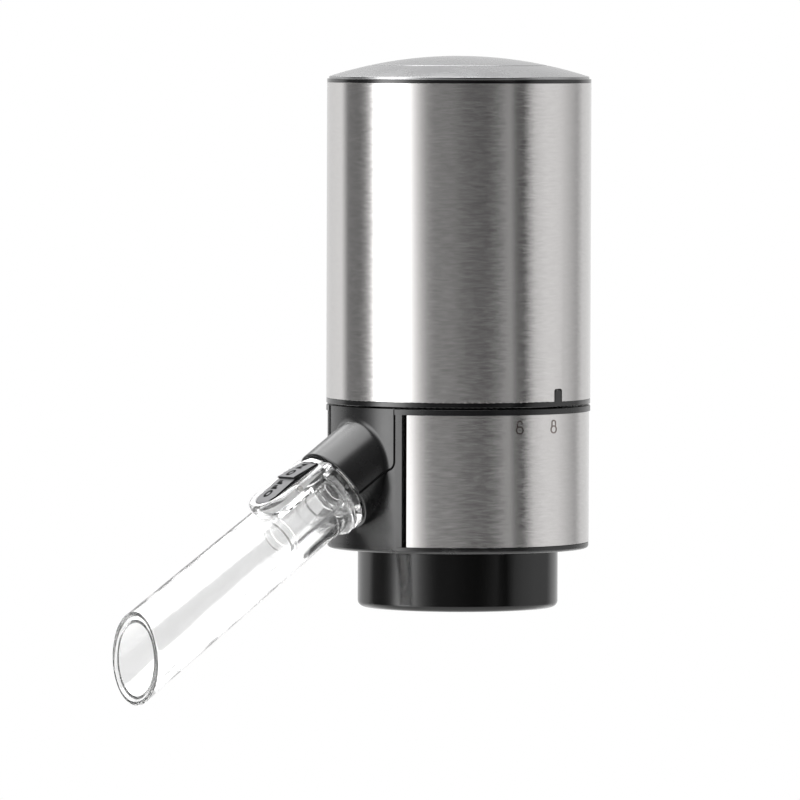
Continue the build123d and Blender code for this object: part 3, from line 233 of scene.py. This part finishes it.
# %% [markdown]
# ## Moulded plastics, rubbers and small metals
# Most of the rest is moulded or plated, and differs in three things: its colour,
# how sharp its reflections are, and the grain of the mould or the plating. One
# table holds those numbers, and a loop makes each finish from them: a fine noise
# for the grain, as bump, and a broad noise that varies the colour and the
# roughness, as handling and uneven gloss do.
# ABS from a spark-eroded mould is satin, and from a polished one it mirrors in
# dark, sharp lines. Anodised aluminium is an even soft silver. Silicone rubber
# reflects a little less than other plastics, because its index is low, but its
# skin is smooth, so the lamps stay plain to see in it.

# %% List the moulded and plated finishes
PLAIN_FINISHES = {
    # slot: (name, colour, metallic, roughness low and high, grain in mm, bump)
    "black_plastic": ("abs_moulded_black", "#0B0B0C", 0.0, 0.22, 0.3, 0.18, 0.1),
    "gloss_black": ("abs_polished_black", "#09090A", 0.0, 0.07, 0.12, 0.3, 0.02),
    "silver_cap": ("aluminium_satin_anodised", "#9C9C9D", 0.95, 0.24, 0.3, 0.14, 0.08),
    "grey_plastic": ("abs_moulded_grey", "#59595B", 0.0, 0.5, 0.58, 0.2, 0.08),
    "black_silicone": ("silicone_moulded_black", "#060606", 0.0, 0.1, 0.17, 0.4, 0.03),
    "hose_silicone": ("silicone_milky", "#D9D8D2", 0.0, 0.35, 0.5, 0.4, 0.05),
    "white_plastic": ("acetal_moulded_white", "#E9E9E9", 0.0, 0.35, 0.5, 0.3, 0.08),
    "zinc_steel": ("steel_zinc_plated", "#BFC1C4", 1.0, 0.22, 0.36, 0.25, 0.08),
    "screw_steel": ("steel_nickel_plated", "#B3B1AD", 1.0, 0.2, 0.32, 0.2, 0.08),
    "contact_brass": ("brass_plated", "#D1B06A", 1.0, 0.2, 0.34, 0.2, 0.08),
    "board_green": ("solder_mask_green", "#1F5A36", 0.0, 0.25, 0.36, 0.6, 0.1),
    "cell_jacket": ("polymer_film_on_steel", "#3B4148", 0.3, 0.22, 0.3, 0.8, 0.04),
    "switch_black": ("nylon_moulded_black", "#232323", 0.0, 0.4, 0.55, 0.25, 0.1),
}
SILICONE_INDEX = 1.41
HANDLING_SIZE = 6.25 * MM
HANDLED = 0.9
GRAIN_DEPTH = 0.03 * MM
print(len(PLAIN_FINISHES), "plain finishes")

# %% Make the moulded and plated finishes
for slot, (name, colour, metallic, low, high, grain_mm, bump) in PLAIN_FINISHES.items():
    material, tree, shader, place = new_finish(name)
    shader.inputs["Metallic"].default_value = metallic
    if name.startswith("silicone"):
        shader.inputs["IOR"].default_value = SILICONE_INDEX
    grain = add_node(
        tree, "ShaderNodeTexNoise", {"Vector": place, "Scale": 1 / (grain_mm * MM), "Detail": 2.0}
    ).outputs["Fac"]
    handling = add_node(
        tree, "ShaderNodeTexNoise",
        {"Vector": place, "Scale": 1 / HANDLING_SIZE, "Detail": 4.0, "Roughness": 0.65},
    ).outputs["Fac"]
    darker = tuple(c * HANDLED for c in linear(colour)[:3]) + (1.0,)
    tint = add_node(
        tree, "ShaderNodeMix", {0: handling, 6: darker, 7: linear(colour)}, data_type="RGBA"
    ).outputs[2]
    gloss = add_node(
        tree, "ShaderNodeMapRange", {"Value": handling, **NOISE_SPAN, "To Min": low, "To Max": high}
    ).outputs["Result"]
    relief = add_node(
        tree, "ShaderNodeBump", {"Strength": bump, "Distance": GRAIN_DEPTH, "Height": grain}
    ).outputs["Normal"]
    tree.links.new(tint, shader.inputs["Base Color"])
    tree.links.new(gloss, shader.inputs["Roughness"])
    tree.links.new(relief, shader.inputs["Normal"])
    finishes[slot] = material
print(len(finishes), "finishes so far")

# %% [markdown]
# ## Clear and hazy plastics
# The spout is clear styrene acrylonitrile, polished in its mould. What shows it
# is refraction: its walls bend the dark and light parts of the room into lines
# along its edges. So it is a true solid with a wall and an index of refraction
# of 1.57, and not a see-through colour. The channel inside is the same plastic
# with a trace of haze. A broad faint noise keeps the gloss of both from being
# perfectly even, as moulded plastic's never is.

# %% Make the clear and the hazy plastic
PLASTIC_INDEX = 1.57
CLOUDS_PER_METRE = 220.0
for slot, name, colour, roughness, clearness in (
    ("clear_plastic", "styrene_acrylonitrile_clear", "#FEFEFE", 0.01, 0.99),
    ("channel_plastic", "styrene_acrylonitrile_hazy", "#FBFBFB", 0.03, 0.98),
):
    material, tree, shader, place = new_finish(name)
    shader.inputs["Transmission Weight"].default_value = clearness
    shader.inputs["IOR"].default_value = PLASTIC_INDEX
    cloud = add_node(
        tree, "ShaderNodeTexNoise", {"Vector": place, "Scale": CLOUDS_PER_METRE, "Detail": 2.0}
    ).outputs["Fac"]
    tint = add_node(
        tree, "ShaderNodeMix",
        {0: cloud, 6: linear(colour), 7: linear("#FFFFFF")}, data_type="RGBA",
    ).outputs[2]
    gloss = add_node(
        tree, "ShaderNodeMapRange",
        {"Value": cloud, "To Min": roughness * 0.7, "To Max": roughness * 1.3},
    ).outputs["Result"]
    tree.links.new(tint, shader.inputs["Base Color"])
    tree.links.new(gloss, shader.inputs["Roughness"])
    finishes[slot] = material
print(len(finishes), "finishes with a slot")

# %% [markdown]
# ## Matt blacks
# The bead that paints the shadow in the nozzle's parting line and beside the rocker's face, and the
# ink of the words, are matt: they scatter what little light they send back, and mirror next to
# nothing. A fine noise between two blacks keeps them from being one flat colour.

# %% Make the painted gap shadow and the ink
MATT_SPECULAR = 0.08
matt_blacks = {}
for name, grain_mm, dark, light, roughness in (
    # the first black is painted shadow, laid in gaps too fine to keep their own shade
    ("painted_gap_shadow_matte_black", 0.2, "#050505", "#0B0B0B", 0.9),
    ("ink_printed_matte_black", 0.1, "#060606", "#0C0C0C", 0.85),
):
    material, tree, shader, place = new_finish(name)
    soot = add_node(
        tree, "ShaderNodeTexNoise", {"Vector": place, "Scale": 1 / (grain_mm * MM), "Detail": 2.0}
    ).outputs["Fac"]
    tint = add_node(
        tree, "ShaderNodeMix", {0: soot, 6: linear(dark), 7: linear(light)}, data_type="RGBA"
    ).outputs[2]
    shader.inputs["Roughness"].default_value = roughness
    shader.inputs["Specular IOR Level"].default_value = MATT_SPECULAR
    tree.links.new(tint, shader.inputs["Base Color"])
    matt_blacks[name] = material
painted_gap_shadow, ink = matt_blacks.values()
print("matt blacks:", ", ".join(matt_blacks))

# %% [markdown]
# ## Outside shells
# The housing, the nozzle's cover and the spout already have their right shapes
# in the frame, but a frame's mesh is loose triangles, which shade flat. A copy
# is merged into one skin, its faces are shaded smooth, and only edges that turn
# by more than 30 degrees stay sharp. Normals weighted by face area keep the
# large faces even right up to their rounded rims.

# %% A merged, smooth copy of a node
SHARP = math.radians(30)
MERGE_REACH = 0.002 * MM
SLIVER = 0.001 * MM


def add_piece(name, mesh, node, finish=None):
    """Adds a piece that rides with a node, in its slot's finish or in the one given."""
    piece = bpy.data.objects.new(name, mesh)
    scene.collection.objects.link(piece)
    mesh.materials.clear()
    mesh.materials.append(finish or finishes[slot_of[node]])
    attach(piece, body_of[node])
    return piece


def smooth_by_angle(skin):
    """Shades a bmesh smooth, with edges sharper than SHARP left sharp."""
    for face in skin.faces:
        face.smooth = True
    for edge in skin.edges:
        edge.smooth = len(edge.link_faces) == 2 and edge.calc_face_angle() < SHARP


def smooth_copy(node, name):
    """A copy of a node's mesh with its doubles merged, shaded smooth by angle."""
    skin = bmesh.new()
    skin.from_mesh(frame["nodes"][node].data)
    bmesh.ops.remove_doubles(skin, verts=skin.verts, dist=MERGE_REACH)
    bmesh.ops.dissolve_degenerate(skin, dist=SLIVER, edges=skin.edges)
    smooth_by_angle(skin)
    mesh = bpy.data.meshes.new(name)
    skin.to_mesh(mesh)
    skin.free()
    return mesh


def dress(name, node, finish=None):
    """Makes a smooth copy of a node's mesh the piece that stands for it."""
    piece = add_piece(name, smooth_copy(node, name), node, finish)
    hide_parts(node)
    return piece


print("edges over", round(math.degrees(SHARP)), "degrees stay sharp")

# %% Dress the shells
SHELLS = {
    "base_housing": "housing_shell",
    "nozzle_cover": "nozzle_cover_shell",
    "lower_band": "lower_band_sheet",
    "base_ring": "base_ring_trim",
    "bottle_sleeve": "neck_sleeve",
    "outlet_socket": "outlet_spigot",
    "upper_sleeve": "barrel_sheet",
    "bezel_ring": "bezel_trim",
    "cap_rim": "cap_rim_trim",
    "cap_dome": "cap_dome_shell",
    "power_button": "button_disc",
    "spout_tube": "spout_body",
    "spout_rings": "spout_seals",
    "spout_channel": "inner_channel",
    "valve_rocker": "rocker_key",
    "valve_stem": "valve_needle",
    "valve_bush": "valve_seat",
    "rocker_pin": "rocker_axle",
}
POLISHED = {"bezel_ring", "cap_rim"}
for node, name in SHELLS.items():
    piece = dress(name, node, finishes["gloss_black"] if node in POLISHED else None)
    even = piece.modifiers.new("even_normals", "WEIGHTED_NORMAL")
    even.keep_sharp = True
print(len(SHELLS), "shells")

# %% [markdown]
# ## The button's spring
# The button comes back up on a coil of steel wire that stands on the switch board. It has to
# shorten as the button goes down; here its copy is only given a mesh of its own.

# %% Give the spring a mesh of its own
spring = dress("return_spring", "button_spring")
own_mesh(spring)

# %% [markdown]
# ## The rocker's colours
# The rocker is a pale key with a grey face. Above its pale foot its sides are painted black, as
# painted shade: the black shows as a line round the face and at the step in its middle, where the
# gap and the step lie in shadow. It could be three pieces, but one mesh with three materials has no
# seams to hide. A cut through the mesh below the face parts the painted shade from the pale foot,
# and above it the faces that look along the spout's own up direction are the grey ones.

# %% Colour the rocker's faces
SPOUT_PITCH = math.radians(33.3)
down_spout = Vector((0, -math.cos(SPOUT_PITCH), -math.sin(SPOUT_PITCH)))
out_of_top = Vector((0, -math.sin(SPOUT_PITCH), math.cos(SPOUT_PITCH)))
nozzle_face = Vector((0, -29.44, 22.59)) * MM
SHADE_FOOT = 6.6 * MM
GREY_FACE_LEAN = math.radians(12)
GREY, SHADE_BLACK, PALE = 0, 1, 2
rocker = bpy.data.objects["rocker_key"]
for finish in (finishes["black_plastic"], finishes["white_plastic"]):
    rocker.data.materials.append(finish)
skin = bmesh.new()
skin.from_mesh(rocker.data)
shade_foot = nozzle_face + out_of_top * SHADE_FOOT
bmesh.ops.bisect_plane(
    skin, geom=[*skin.verts, *skin.edges, *skin.faces], plane_co=shade_foot, plane_no=out_of_top
)
skin.normal_update()
smooth_by_angle(skin)
for face in skin.faces:
    if (face.calc_center_median() - shade_foot).dot(out_of_top) < 0:
        face.material_index = PALE
    # sides above the cut are painted black as shade, for the shadow in the gap and on the step
    elif face.normal.angle(out_of_top) > GREY_FACE_LEAN:
        face.material_index = SHADE_BLACK
skin.to_mesh(rocker.data)
skin.free()
print("rocker cut", SHADE_FOOT / MM, "mm above the spout's axis")

# %% [markdown]
# ## The parting line of the nozzle
# The nozzle is two mouldings that meet in a line a tenth of a millimetre wide,
# beside the spout and up both sides of the panel. What shows of it is its
# shadow, which a gap that fine loses at this size. A matt black bead laid in the
# gap keeps it dark. The bead follows the cover's own outer edges: they are the
# sharp ones that lie outside both the panel's round and the nozzle's round.

# %% Keep the edges that a bead follows
def keep_edges(skin, kept):
    """Takes all but these edges out of a bmesh."""
    others = [edge for edge in skin.edges if edge not in kept]
    bmesh.ops.delete(skin, geom=others, context="EDGES")
    loose = [vertex for vertex in skin.verts if not vertex.link_edges]
    bmesh.ops.delete(skin, geom=loose, context="VERTS")


print("beads of", painted_gap_shadow.name)


# %% Turn a curve into a bead
def mesh_of(drawn):
    """The mesh that a curve or a text makes."""
    draft = bpy.data.objects.new(drawn.name + "_draft", drawn)
    mesh = bpy.data.meshes.new_from_object(draft)
    bpy.data.objects.remove(draft)
    return mesh


def lay_bead(name, node, starts, radius, shift):
    """Lays a black bead, a painted shadow, along the edges that lead on from each start. It rides
    with a node.
    """
    drawn = bpy.data.curves.new(name, "CURVE")
    drawn.dimensions = "3D"
    drawn.bevel_depth = radius
    drawn.bevel_resolution = 3
    drawn.use_fill_caps = True
    for start in starts:
        path = [start]
        while True:
            beside = [edge.other_vert(path[-1]) for edge in path[-1].link_edges]
            onward = [vertex for vertex in beside if vertex not in path]
            if not onward:
                break
            path.append(onward[0])
        spline = drawn.splines.new("POLY")
        spline.points.add(len(path) - 1)
        for point, vertex in zip(spline.points, path):
            point.co = (*(vertex.co + shift), 1)
        print(name, "has a run of", len(path), "points")
    add_piece(name, mesh_of(drawn), node, painted_gap_shadow)


print("a bead runs on from each start to the end of its edges")

# %% Lay a black bead in the parting line as its painted shadow
PANEL_RADIUS = 24.7 * MM
NOZZLE_RADIUS = 8.3 * MM
PANEL_TOP = 38.1 * MM
BEAD_RADIUS = 0.22 * MM
BEAD_DROP = 0.08 * MM


def on_outside(edge):
    """Whether a cover's edge is a sharp one on the outside, below its top."""
    point = (edge.verts[0].co + edge.verts[1].co) / 2
    from_spout = (point - nozzle_face).cross(down_spout).length
    return (
        len(edge.link_faces) == 2
        and edge.calc_face_angle() > SHARP
        and point.xy.length > PANEL_RADIUS
        and from_spout > NOZZLE_RADIUS
        and point.z < PANEL_TOP
    )


skin = bmesh.new()
skin.from_mesh(frame["nodes"]["nozzle_cover"].data)
bmesh.ops.remove_doubles(skin, verts=skin.verts, dist=MERGE_REACH)
keep_edges(skin, {edge for edge in skin.edges if on_outside(edge)})
ends = [vertex for vertex in skin.verts if len(vertex.link_edges) == 1]
starts = [end for end in ends if end.co.z > PANEL_TOP]
# the bead is painted shadow: it stands for the dark of the gap between the two mouldings
lay_bead("parting_line_painted_shadow", "nozzle_cover", starts, BEAD_RADIUS, -out_of_top * BEAD_DROP)
skin.free()

# %% [markdown]
# ## The black line beside the rocker's face
# The painted shade on the rocker's sides is so thin beside the grey face that the render would lose
# it. So the same black bead, a painted shadow of the gap, goes along the border between the two
# colours, on the side that has the tick tab. Runs shorter than a millimetre are corners, and are
# left out.

# %% Lay a painted shadow beside the rocker's face
SHADOW_BEAD_RADIUS = 0.12 * MM
SHORTEST_SHADOW_RUN = 1 * MM
STRAIGHT_ACROSS = 0.97


def runs_along(edge):
    """Whether an edge borders the grey face on its near side and runs along the spout."""
    sides = {face.material_index for face in edge.link_faces}
    ends = [vertex.co for vertex in edge.verts]
    way = (ends[1] - ends[0]).normalized()
    nearest = min(end.x for end in ends)
    return sides == {GREY, SHADE_BLACK} and nearest > 0 and abs(way.x) < STRAIGHT_ACROSS


skin = bmesh.new()
skin.from_mesh(rocker.data)
keep_edges(skin, {edge for edge in skin.edges if runs_along(edge)})
ends = [vertex for vertex in skin.verts if len(vertex.link_edges) == 1]
starts = []
for end in sorted(ends, key=lambda vertex: -vertex.co.y):
    run = {end}
    while True:
        onward = {edge.other_vert(vertex) for vertex in run for edge in vertex.link_edges} - run
        if not onward:
            break
        run |= onward
    length = end.co.y - min(vertex.co.y for vertex in run)
    if length > SHORTEST_SHADOW_RUN:
        starts.append(end)
# the bead is painted shadow along the gap beside the grey face
lay_bead("rocker_painted_gap_shadow", "valve_rocker", starts, SHADOW_BEAD_RADIUS, Vector())
skin.free()

# %% [markdown]
# ## Lettering and lock signs
# The rocker is marked ON and OFF, and the band carries an open and a closed
# padlock under the tick tab. On the real object the words are printed and the
# signs are marked by laser, so each is a film a few hundredths of a millimetre
# thick. A sign is drawn flat, and then each of its points is dropped on to the
# piece that carries it, so it lies on the surface however that curves.

# %% Drop a flat sign on to a surface
FILM = 0.03 * MM
DROP_HEIGHT = 5 * MM


def surface_of(node):
    """A search tree over a node's mesh, to drop points on to it."""
    skin = bmesh.new()
    skin.from_mesh(frame["nodes"][node].data)
    tree = BVHTree.FromBMesh(skin)
    skin.free()
    return tree


def lay_on(mesh, node, middle, right, outward):
    """Lays a flat mesh on a node. Its X runs to the right, and it looks outward from middle."""
    surface = surface_of(node)
    up = outward.cross(right)
    for vertex in mesh.vertices:
        x, y, height = vertex.co
        start = middle + right * x + up * y + outward * DROP_HEIGHT
        touched, normal = surface.ray_cast(start, -outward)[:2]
        vertex.co = touched + normal * height
    mesh.update()


print("film", FILM / MM, "mm thick")

# %% Letter the rocker
LETTER_HEIGHT = 1.45 * MM
CAP_SHARE = 0.72
LETTER_STRETCH = 1.3
LETTER_WEIGHT = 0.1 * MM
ABOVE_ROCKER = 8 * MM
WORDS = (
    # word, its place down the spout and across it in mm, and the space between its letters
    ("ON", 4.3, -0.5, 1.45),
    ("OFF", 10.5, -0.6, 1.22),
)
for word, along, across, spacing in WORDS:
    name = "word_" + word.lower()
    drawn = bpy.data.curves.new(name, "FONT")
    drawn.body = word
    drawn.size = LETTER_HEIGHT / CAP_SHARE
    drawn.space_character = spacing
    drawn.align_x = "CENTER"
    drawn.align_y = "CENTER"
    drawn.offset = LETTER_WEIGHT
    drawn.extrude = FILM / 2
    mesh = mesh_of(drawn)
    mesh.transform(Matrix.Diagonal((LETTER_STRETCH, 1, 1, 1)))
    mesh.transform(Matrix.Translation((0, 0, FILM / 2)))
    middle = nozzle_face + down_spout * along * MM + out_of_top * ABOVE_ROCKER
    middle += Vector((across * MM, 0, 0))
    lay_on(mesh, "valve_rocker", middle, -down_spout, out_of_top)
    add_piece(name, mesh, "valve_rocker", ink)
print(len(WORDS), "words")

# %% [markdown]
# ## Padlock signs
# Each padlock is a line drawing: a nearly round body and a shackle. A ring is two
# circles bridged, and the shackle is the upper half of such a ring. Its legs are
# drawn down to the body, but on the open lock one leg stays short. The laser only
# heats the steel, which turns it a warm dark grey and leaves the brushing, so the
# marks have the same finish as the band in darker colours.

# %% Draw a ring and a shackle
SIGN_LINE = 0.26 * MM
SHACKLE_WIDTH = 1.25 * MM
SHACKLE_LEG = 0.6 * MM
RING_SEGMENTS = 32


def flat_ring(skin, width):
    """Draws a flat ring of the signs' line width, and gives its faces."""
    edges = []
    for radius in (width / 2, width / 2 - SIGN_LINE):
        circle = bmesh.ops.create_circle(skin, segments=RING_SEGMENTS, radius=radius)["verts"]
        edges += dict.fromkeys(edge for vertex in circle for edge in vertex.link_edges)
    return bmesh.ops.bridge_loops(skin, edges=edges)["faces"]


def shackle(skin, legs):
    """Draws half a ring with a leg for each side in legs, -1 for left and 1 for right."""
    flat_ring(skin, SHACKLE_WIDTH)
    drawn = [*skin.verts, *skin.edges, *skin.faces]
    cut = bmesh.ops.bisect_plane(
        skin, geom=drawn, plane_co=(0, 0, 0), plane_no=(0, 1, 0), clear_inner=True
    )["geom_cut"]
    ends = [item for item in cut if isinstance(item, bmesh.types.BMEdge)]
    for side in legs:
        end = [edge for edge in ends if edge.verts[0].co.x * side > 0]
        drawn = bmesh.ops.extrude_edge_only(skin, edges=end)["geom"]
        corners = [item for item in drawn if isinstance(item, bmesh.types.BMVert)]
        bmesh.ops.translate(skin, verts=corners, vec=(0, -SHACKLE_LEG, 0))


print("the signs are drawn in lines", SIGN_LINE / MM, "mm wide")

# %% Mark the padlocks on the band
SIGN_HEIGHT = 34.75 * MM
SIGN_ANGLE = math.radians(9.3)
LOCK_WIDTH = 1.68 * MM
LOCK_BODY_HEIGHT = 1.55 * MM
SHACKLE_LIFT = 0.42 * MM
LOCK_DROP = 0.4 * MM
BAND_RADIUS = 25 * MM
mark = brushed_steel("steel_laser_marked", "#7A716E", "#8A817E")
for name, side, legs in (("lock_sign_open", -1, (-1,)), ("lock_sign_closed", 1, (-1, 1))):
    skin = bmesh.new()
    shackle(skin, legs)
    bmesh.ops.translate(skin, verts=skin.verts, vec=(0, LOCK_BODY_HEIGHT / 2 + SHACKLE_LIFT, 0))
    body = flat_ring(skin, LOCK_WIDTH)
    corners = list(dict.fromkeys(vertex for face in body for vertex in face.verts))
    bmesh.ops.scale(skin, verts=corners, vec=(1, LOCK_BODY_HEIGHT / LOCK_WIDTH, 1))
    bmesh.ops.translate(skin, verts=skin.verts, vec=(0, -LOCK_DROP, 0))
    bmesh.ops.recalc_face_normals(skin, faces=skin.faces)
    bmesh.ops.solidify(skin, geom=skin.faces, thickness=FILM)
    lowest = min(vertex.co.z for vertex in skin.verts)
    bmesh.ops.translate(skin, verts=skin.verts, vec=(0, 0, -lowest))
    mesh = bpy.data.meshes.new(name)
    skin.to_mesh(mesh)
    skin.free()
    outward = Vector((math.cos(side * SIGN_ANGLE), math.sin(side * SIGN_ANGLE), 0))
    right = Vector((-outward.y, outward.x, 0))
    middle = outward * BAND_RADIUS + Vector((0, 0, SIGN_HEIGHT))
    lay_on(mesh, "lower_band", middle, right, outward)
    add_piece(name, mesh, "lower_band", mark)
print("lock signs at", round(SIGN_HEIGHT / MM, 2), "mm")

# %% [markdown]
# ## Everything inside
# The motor, pump, boards, cells and contacts keep the frame's own meshes, which
# are right as they are. Each gets the finish of its slot.

# %% Finish the inner nodes
inner = [node for node in frame["nodes"] if node not in {*SHELLS, "button_spring"}]
for node in inner:
    mesh = frame["nodes"][node].data
    mesh.materials.clear()
    mesh.materials.append(finishes[slot_of[node]])
print(len(inner), "inner nodes")

# %% [markdown]
# ## The studio
# The light is a ring of soft white walls with darker gaps, as in a studio where
# black flags stand between the soft boxes. On a brushed barrel that is what makes
# the picture: each upright streak is one of those zones. The world holds them as
# a ramp over the compass direction, which costs no lamps and makes no noise.
# Overhead and below, the zones fade to an even soft white.

# %% The walls round the object
ZONES = (
    # degrees from the camera's direction, towards the image's right, and brightness
    (-180, 0.8), (-150, 0.9), (-124, 1.1), (-114, 0.24), (-96, 0.2), (-89, 0.36), (-83, 0.95),
    (-78, 3.0), (-70, 6.5), (-60, 6.0), (-50, 4.0), (-45, 2.2), (-39, 1.25), (-34, 0.76),
    (-28, 0.38), (-22, 0.24), (-5, 0.21), (3, 0.15), (13, 0.1), (24, 0.08), (33, 0.16),
    (46, 0.42), (51, 0.15), (59, 0.05), (65, 0.5), (70, 0.84), (83, 1.03), (98, 1.0), (115, 0.7),
    (126, 0.5), (138, 0.9), (179, 0.9),
)
ZONE_SCALE = 7.0
OVERHEAD = 0.35
UNDERNEATH = 0.25
WALL_TOP, WALL_END = 0.45, 0.85
world = bpy.data.worlds.new("studio")
scene.world = world
world.use_nodes = True
tree = world.node_tree
tree.nodes.clear()
ray = add_node(tree, "ShaderNodeTexCoord").outputs["Generated"]


def nearness_to(direction):
    """How near a ray of the world is to a direction, as the cosine of their angle."""
    return add_node(
        world.node_tree, "ShaderNodeVectorMath", {0: ray, 1: tuple(direction)},
        operation="DOT_PRODUCT",
    ).outputs["Value"]


compass = add_node(
    tree, "ShaderNodeMath", {0: nearness_to(image_right), 1: nearness_to(to_camera)},
    operation="ARCTAN2",
).outputs["Value"]
share = add_node(
    tree, "ShaderNodeMapRange", {"Value": compass, "From Min": -math.pi, "From Max": math.pi}
).outputs["Result"]
walls = add_node(tree, "ShaderNodeValToRGB", {"Fac": share})
stops = walls.color_ramp.elements
for degrees, _ in ZONES[1:-1]:
    stops.new((degrees + 180) / 360)
for stop, (degrees, level) in zip(stops, ZONES):
    stop.position = (degrees + 180) / 360
    stop.color = (level / ZONE_SCALE, level / ZONE_SCALE, level / ZONE_SCALE, 1)
wall = add_node(
    tree, "ShaderNodeMath", {0: walls.outputs["Color"], 1: ZONE_SCALE}, operation="MULTIPLY"
).outputs["Value"]
height = add_node(tree, "ShaderNodeSeparateXYZ", {"Vector": ray}).outputs["Z"]
above = add_node(
    tree, "ShaderNodeMath", {0: height, 1: 0.0}, operation="GREATER_THAN"
).outputs["Value"]
end_wall = add_node(
    tree, "ShaderNodeMapRange", {"Value": above, "To Min": UNDERNEATH, "To Max": OVERHEAD}
).outputs["Result"]
steepness = add_node(tree, "ShaderNodeMath", {0: height}, operation="ABSOLUTE").outputs["Value"]
fade = add_node(
    tree, "ShaderNodeMapRange",
    {"Value": steepness, "From Min": WALL_TOP, "From Max": WALL_END},
    interpolation_type="SMOOTHSTEP",
).outputs["Result"]
room = add_node(
    tree, "ShaderNodeMix", {0: fade, 2: wall, 3: end_wall}, data_type="FLOAT"
).outputs[0]
print(len(stops), "zones round the studio")

# %% [markdown]
# ## Two high soft boxes
# Two round soft boxes hang high behind the object, one of them nearly overhead.
# They show in what slopes: the domed cap, the nozzle's back and its soft root.
# Each is a disc in the sky with a soft edge, mixed over the walls.

# %% Hang the high soft boxes
HIGH_BOXES = (
    # compass direction, height and radius in degrees, and brightness
    (-150.0, 77.0, 31.0, 5.5),
    (-157.0, 35.0, 10.0, 4.0),
)
BOX_INNER, BOX_OUTER = 0.85, 1.15
for compass_degrees, height_degrees, spread, level in HIGH_BOXES:
    around, up = math.radians(compass_degrees), math.radians(height_degrees)
    flat = to_camera * math.cos(around) + image_right * math.sin(around)
    towards = flat * math.cos(up) + Vector((0, 0, math.sin(up)))
    inside = add_node(
        tree, "ShaderNodeMapRange",
        {
            "Value": nearness_to(towards),
            "From Min": math.cos(math.radians(spread * BOX_OUTER)),
            "From Max": math.cos(math.radians(spread * BOX_INNER)),
        },
        interpolation_type="SMOOTHSTEP",
    ).outputs["Result"]
    room = add_node(
        tree, "ShaderNodeMix", {0: inside, 2: room, 3: level}, data_type="FLOAT"
    ).outputs[0]
print(len(HIGH_BOXES), "high soft boxes")

# %% [markdown]
# ## The backdrop and the light's paths
# The camera sees a plain white backdrop behind the object, and light that has
# come through the clear plastic sees nearly the same, as it would before a lit
# sheet. Inside the spout's wall light is passed on many times before it comes
# out, so it may bounce often: with a low limit the plastic's edges go black.

# %% Set the backdrop and the bounces
BACKDROP_THROUGH = 0.85
MOST_BOUNCES = 80
rays = add_node(tree, "ShaderNodeLightPath").outputs
through = add_node(
    tree, "ShaderNodeMath", {0: rays["Is Transmission Ray"], 1: BACKDROP_THROUGH},
    operation="MULTIPLY",
).outputs["Value"]
lit = add_node(tree, "ShaderNodeMath", {0: room, 1: through}, operation="MAXIMUM").outputs["Value"]
lit = add_node(
    tree, "ShaderNodeMix", {0: rays["Is Camera Ray"], 2: lit, 3: 1.0}, data_type="FLOAT"
).outputs[0]
sky = add_node(
    tree, "ShaderNodeBackground", {"Color": (1, 1, 1, 1), "Strength": lit}
).outputs["Background"]
add_node(tree, "ShaderNodeOutputWorld", {"Surface": sky})
scene.cycles.max_bounces = MOST_BOUNCES
scene.cycles.transmission_bounces = MOST_BOUNCES
scene.cycles.glossy_bounces = MOST_BOUNCES
print("light may bounce", MOST_BOUNCES, "times")

# %% [markdown]
# ## The floor
# The bottle would stand on a table some 30 cm under the object, so the floor lies
# there. It is a disc of pale paper that fades out at its rim, which leaves plain
# white behind the object and still keeps the shadow under it. From below it is
# clear, so that the underside can be looked at.

# %% Lay the floor
FLOOR_DEPTH = 0.3
FLOOR_RADIUS = 1.2
FADE_FROM, FADE_TO = 0.35 * FLOOR_RADIUS, 0.98 * FLOOR_RADIUS
PAPER_TOOTH = 0.1 * MM
TEETH_PER_METRE = 900.0
skin = bmesh.new()
bmesh.ops.create_circle(skin, cap_ends=True, segments=96, radius=FLOOR_RADIUS)
bmesh.ops.translate(skin, verts=skin.verts, vec=(0, 0, -FLOOR_DEPTH))
mesh = bpy.data.meshes.new("floor")
skin.to_mesh(mesh)
skin.free()
floor = bpy.data.objects.new("floor", mesh)
scene.collection.objects.link(floor)
material, tree, shader, place = new_finish("paper_pale")
tooth = add_node(
    tree, "ShaderNodeTexNoise", {"Vector": place, "Scale": TEETH_PER_METRE, "Detail": 3.0}
).outputs["Fac"]
relief = add_node(
    tree, "ShaderNodeBump", {"Strength": 0.05, "Distance": PAPER_TOOTH, "Height": tooth}
).outputs["Normal"]
shader.inputs["Base Color"].default_value = linear("#F4F4F3")
shader.inputs["Roughness"].default_value = 0.9
tree.links.new(relief, shader.inputs["Normal"])
reach = add_node(
    tree, "ShaderNodeVectorMath", {0: place, 1: (1, 1, 0)}, operation="MULTIPLY"
).outputs["Vector"]
reach = add_node(tree, "ShaderNodeVectorMath", {0: reach}, operation="LENGTH").outputs["Value"]
gone = add_node(
    tree, "ShaderNodeMapRange",
    {"Value": reach, "From Min": FADE_FROM, "From Max": FADE_TO},
    interpolation_type="SMOOTHSTEP",
).outputs["Result"]
from_below = add_node(tree, "ShaderNodeNewGeometry").outputs["Backfacing"]
gone = add_node(
    tree, "ShaderNodeMath", {0: gone, 1: from_below}, operation="MAXIMUM"
).outputs["Value"]
clear = add_node(tree, "ShaderNodeBsdfTransparent").outputs["BSDF"]
faded = add_node(
    tree, "ShaderNodeMixShader", {0: gone, 1: shader.outputs["BSDF"], 2: clear}
).outputs["Shader"]
output = next(node for node in tree.nodes if node.type == "OUTPUT_MATERIAL")
tree.links.new(faded, output.inputs["Surface"])
mesh.materials.append(material)
print("floor", FLOOR_DEPTH, "m below the object")
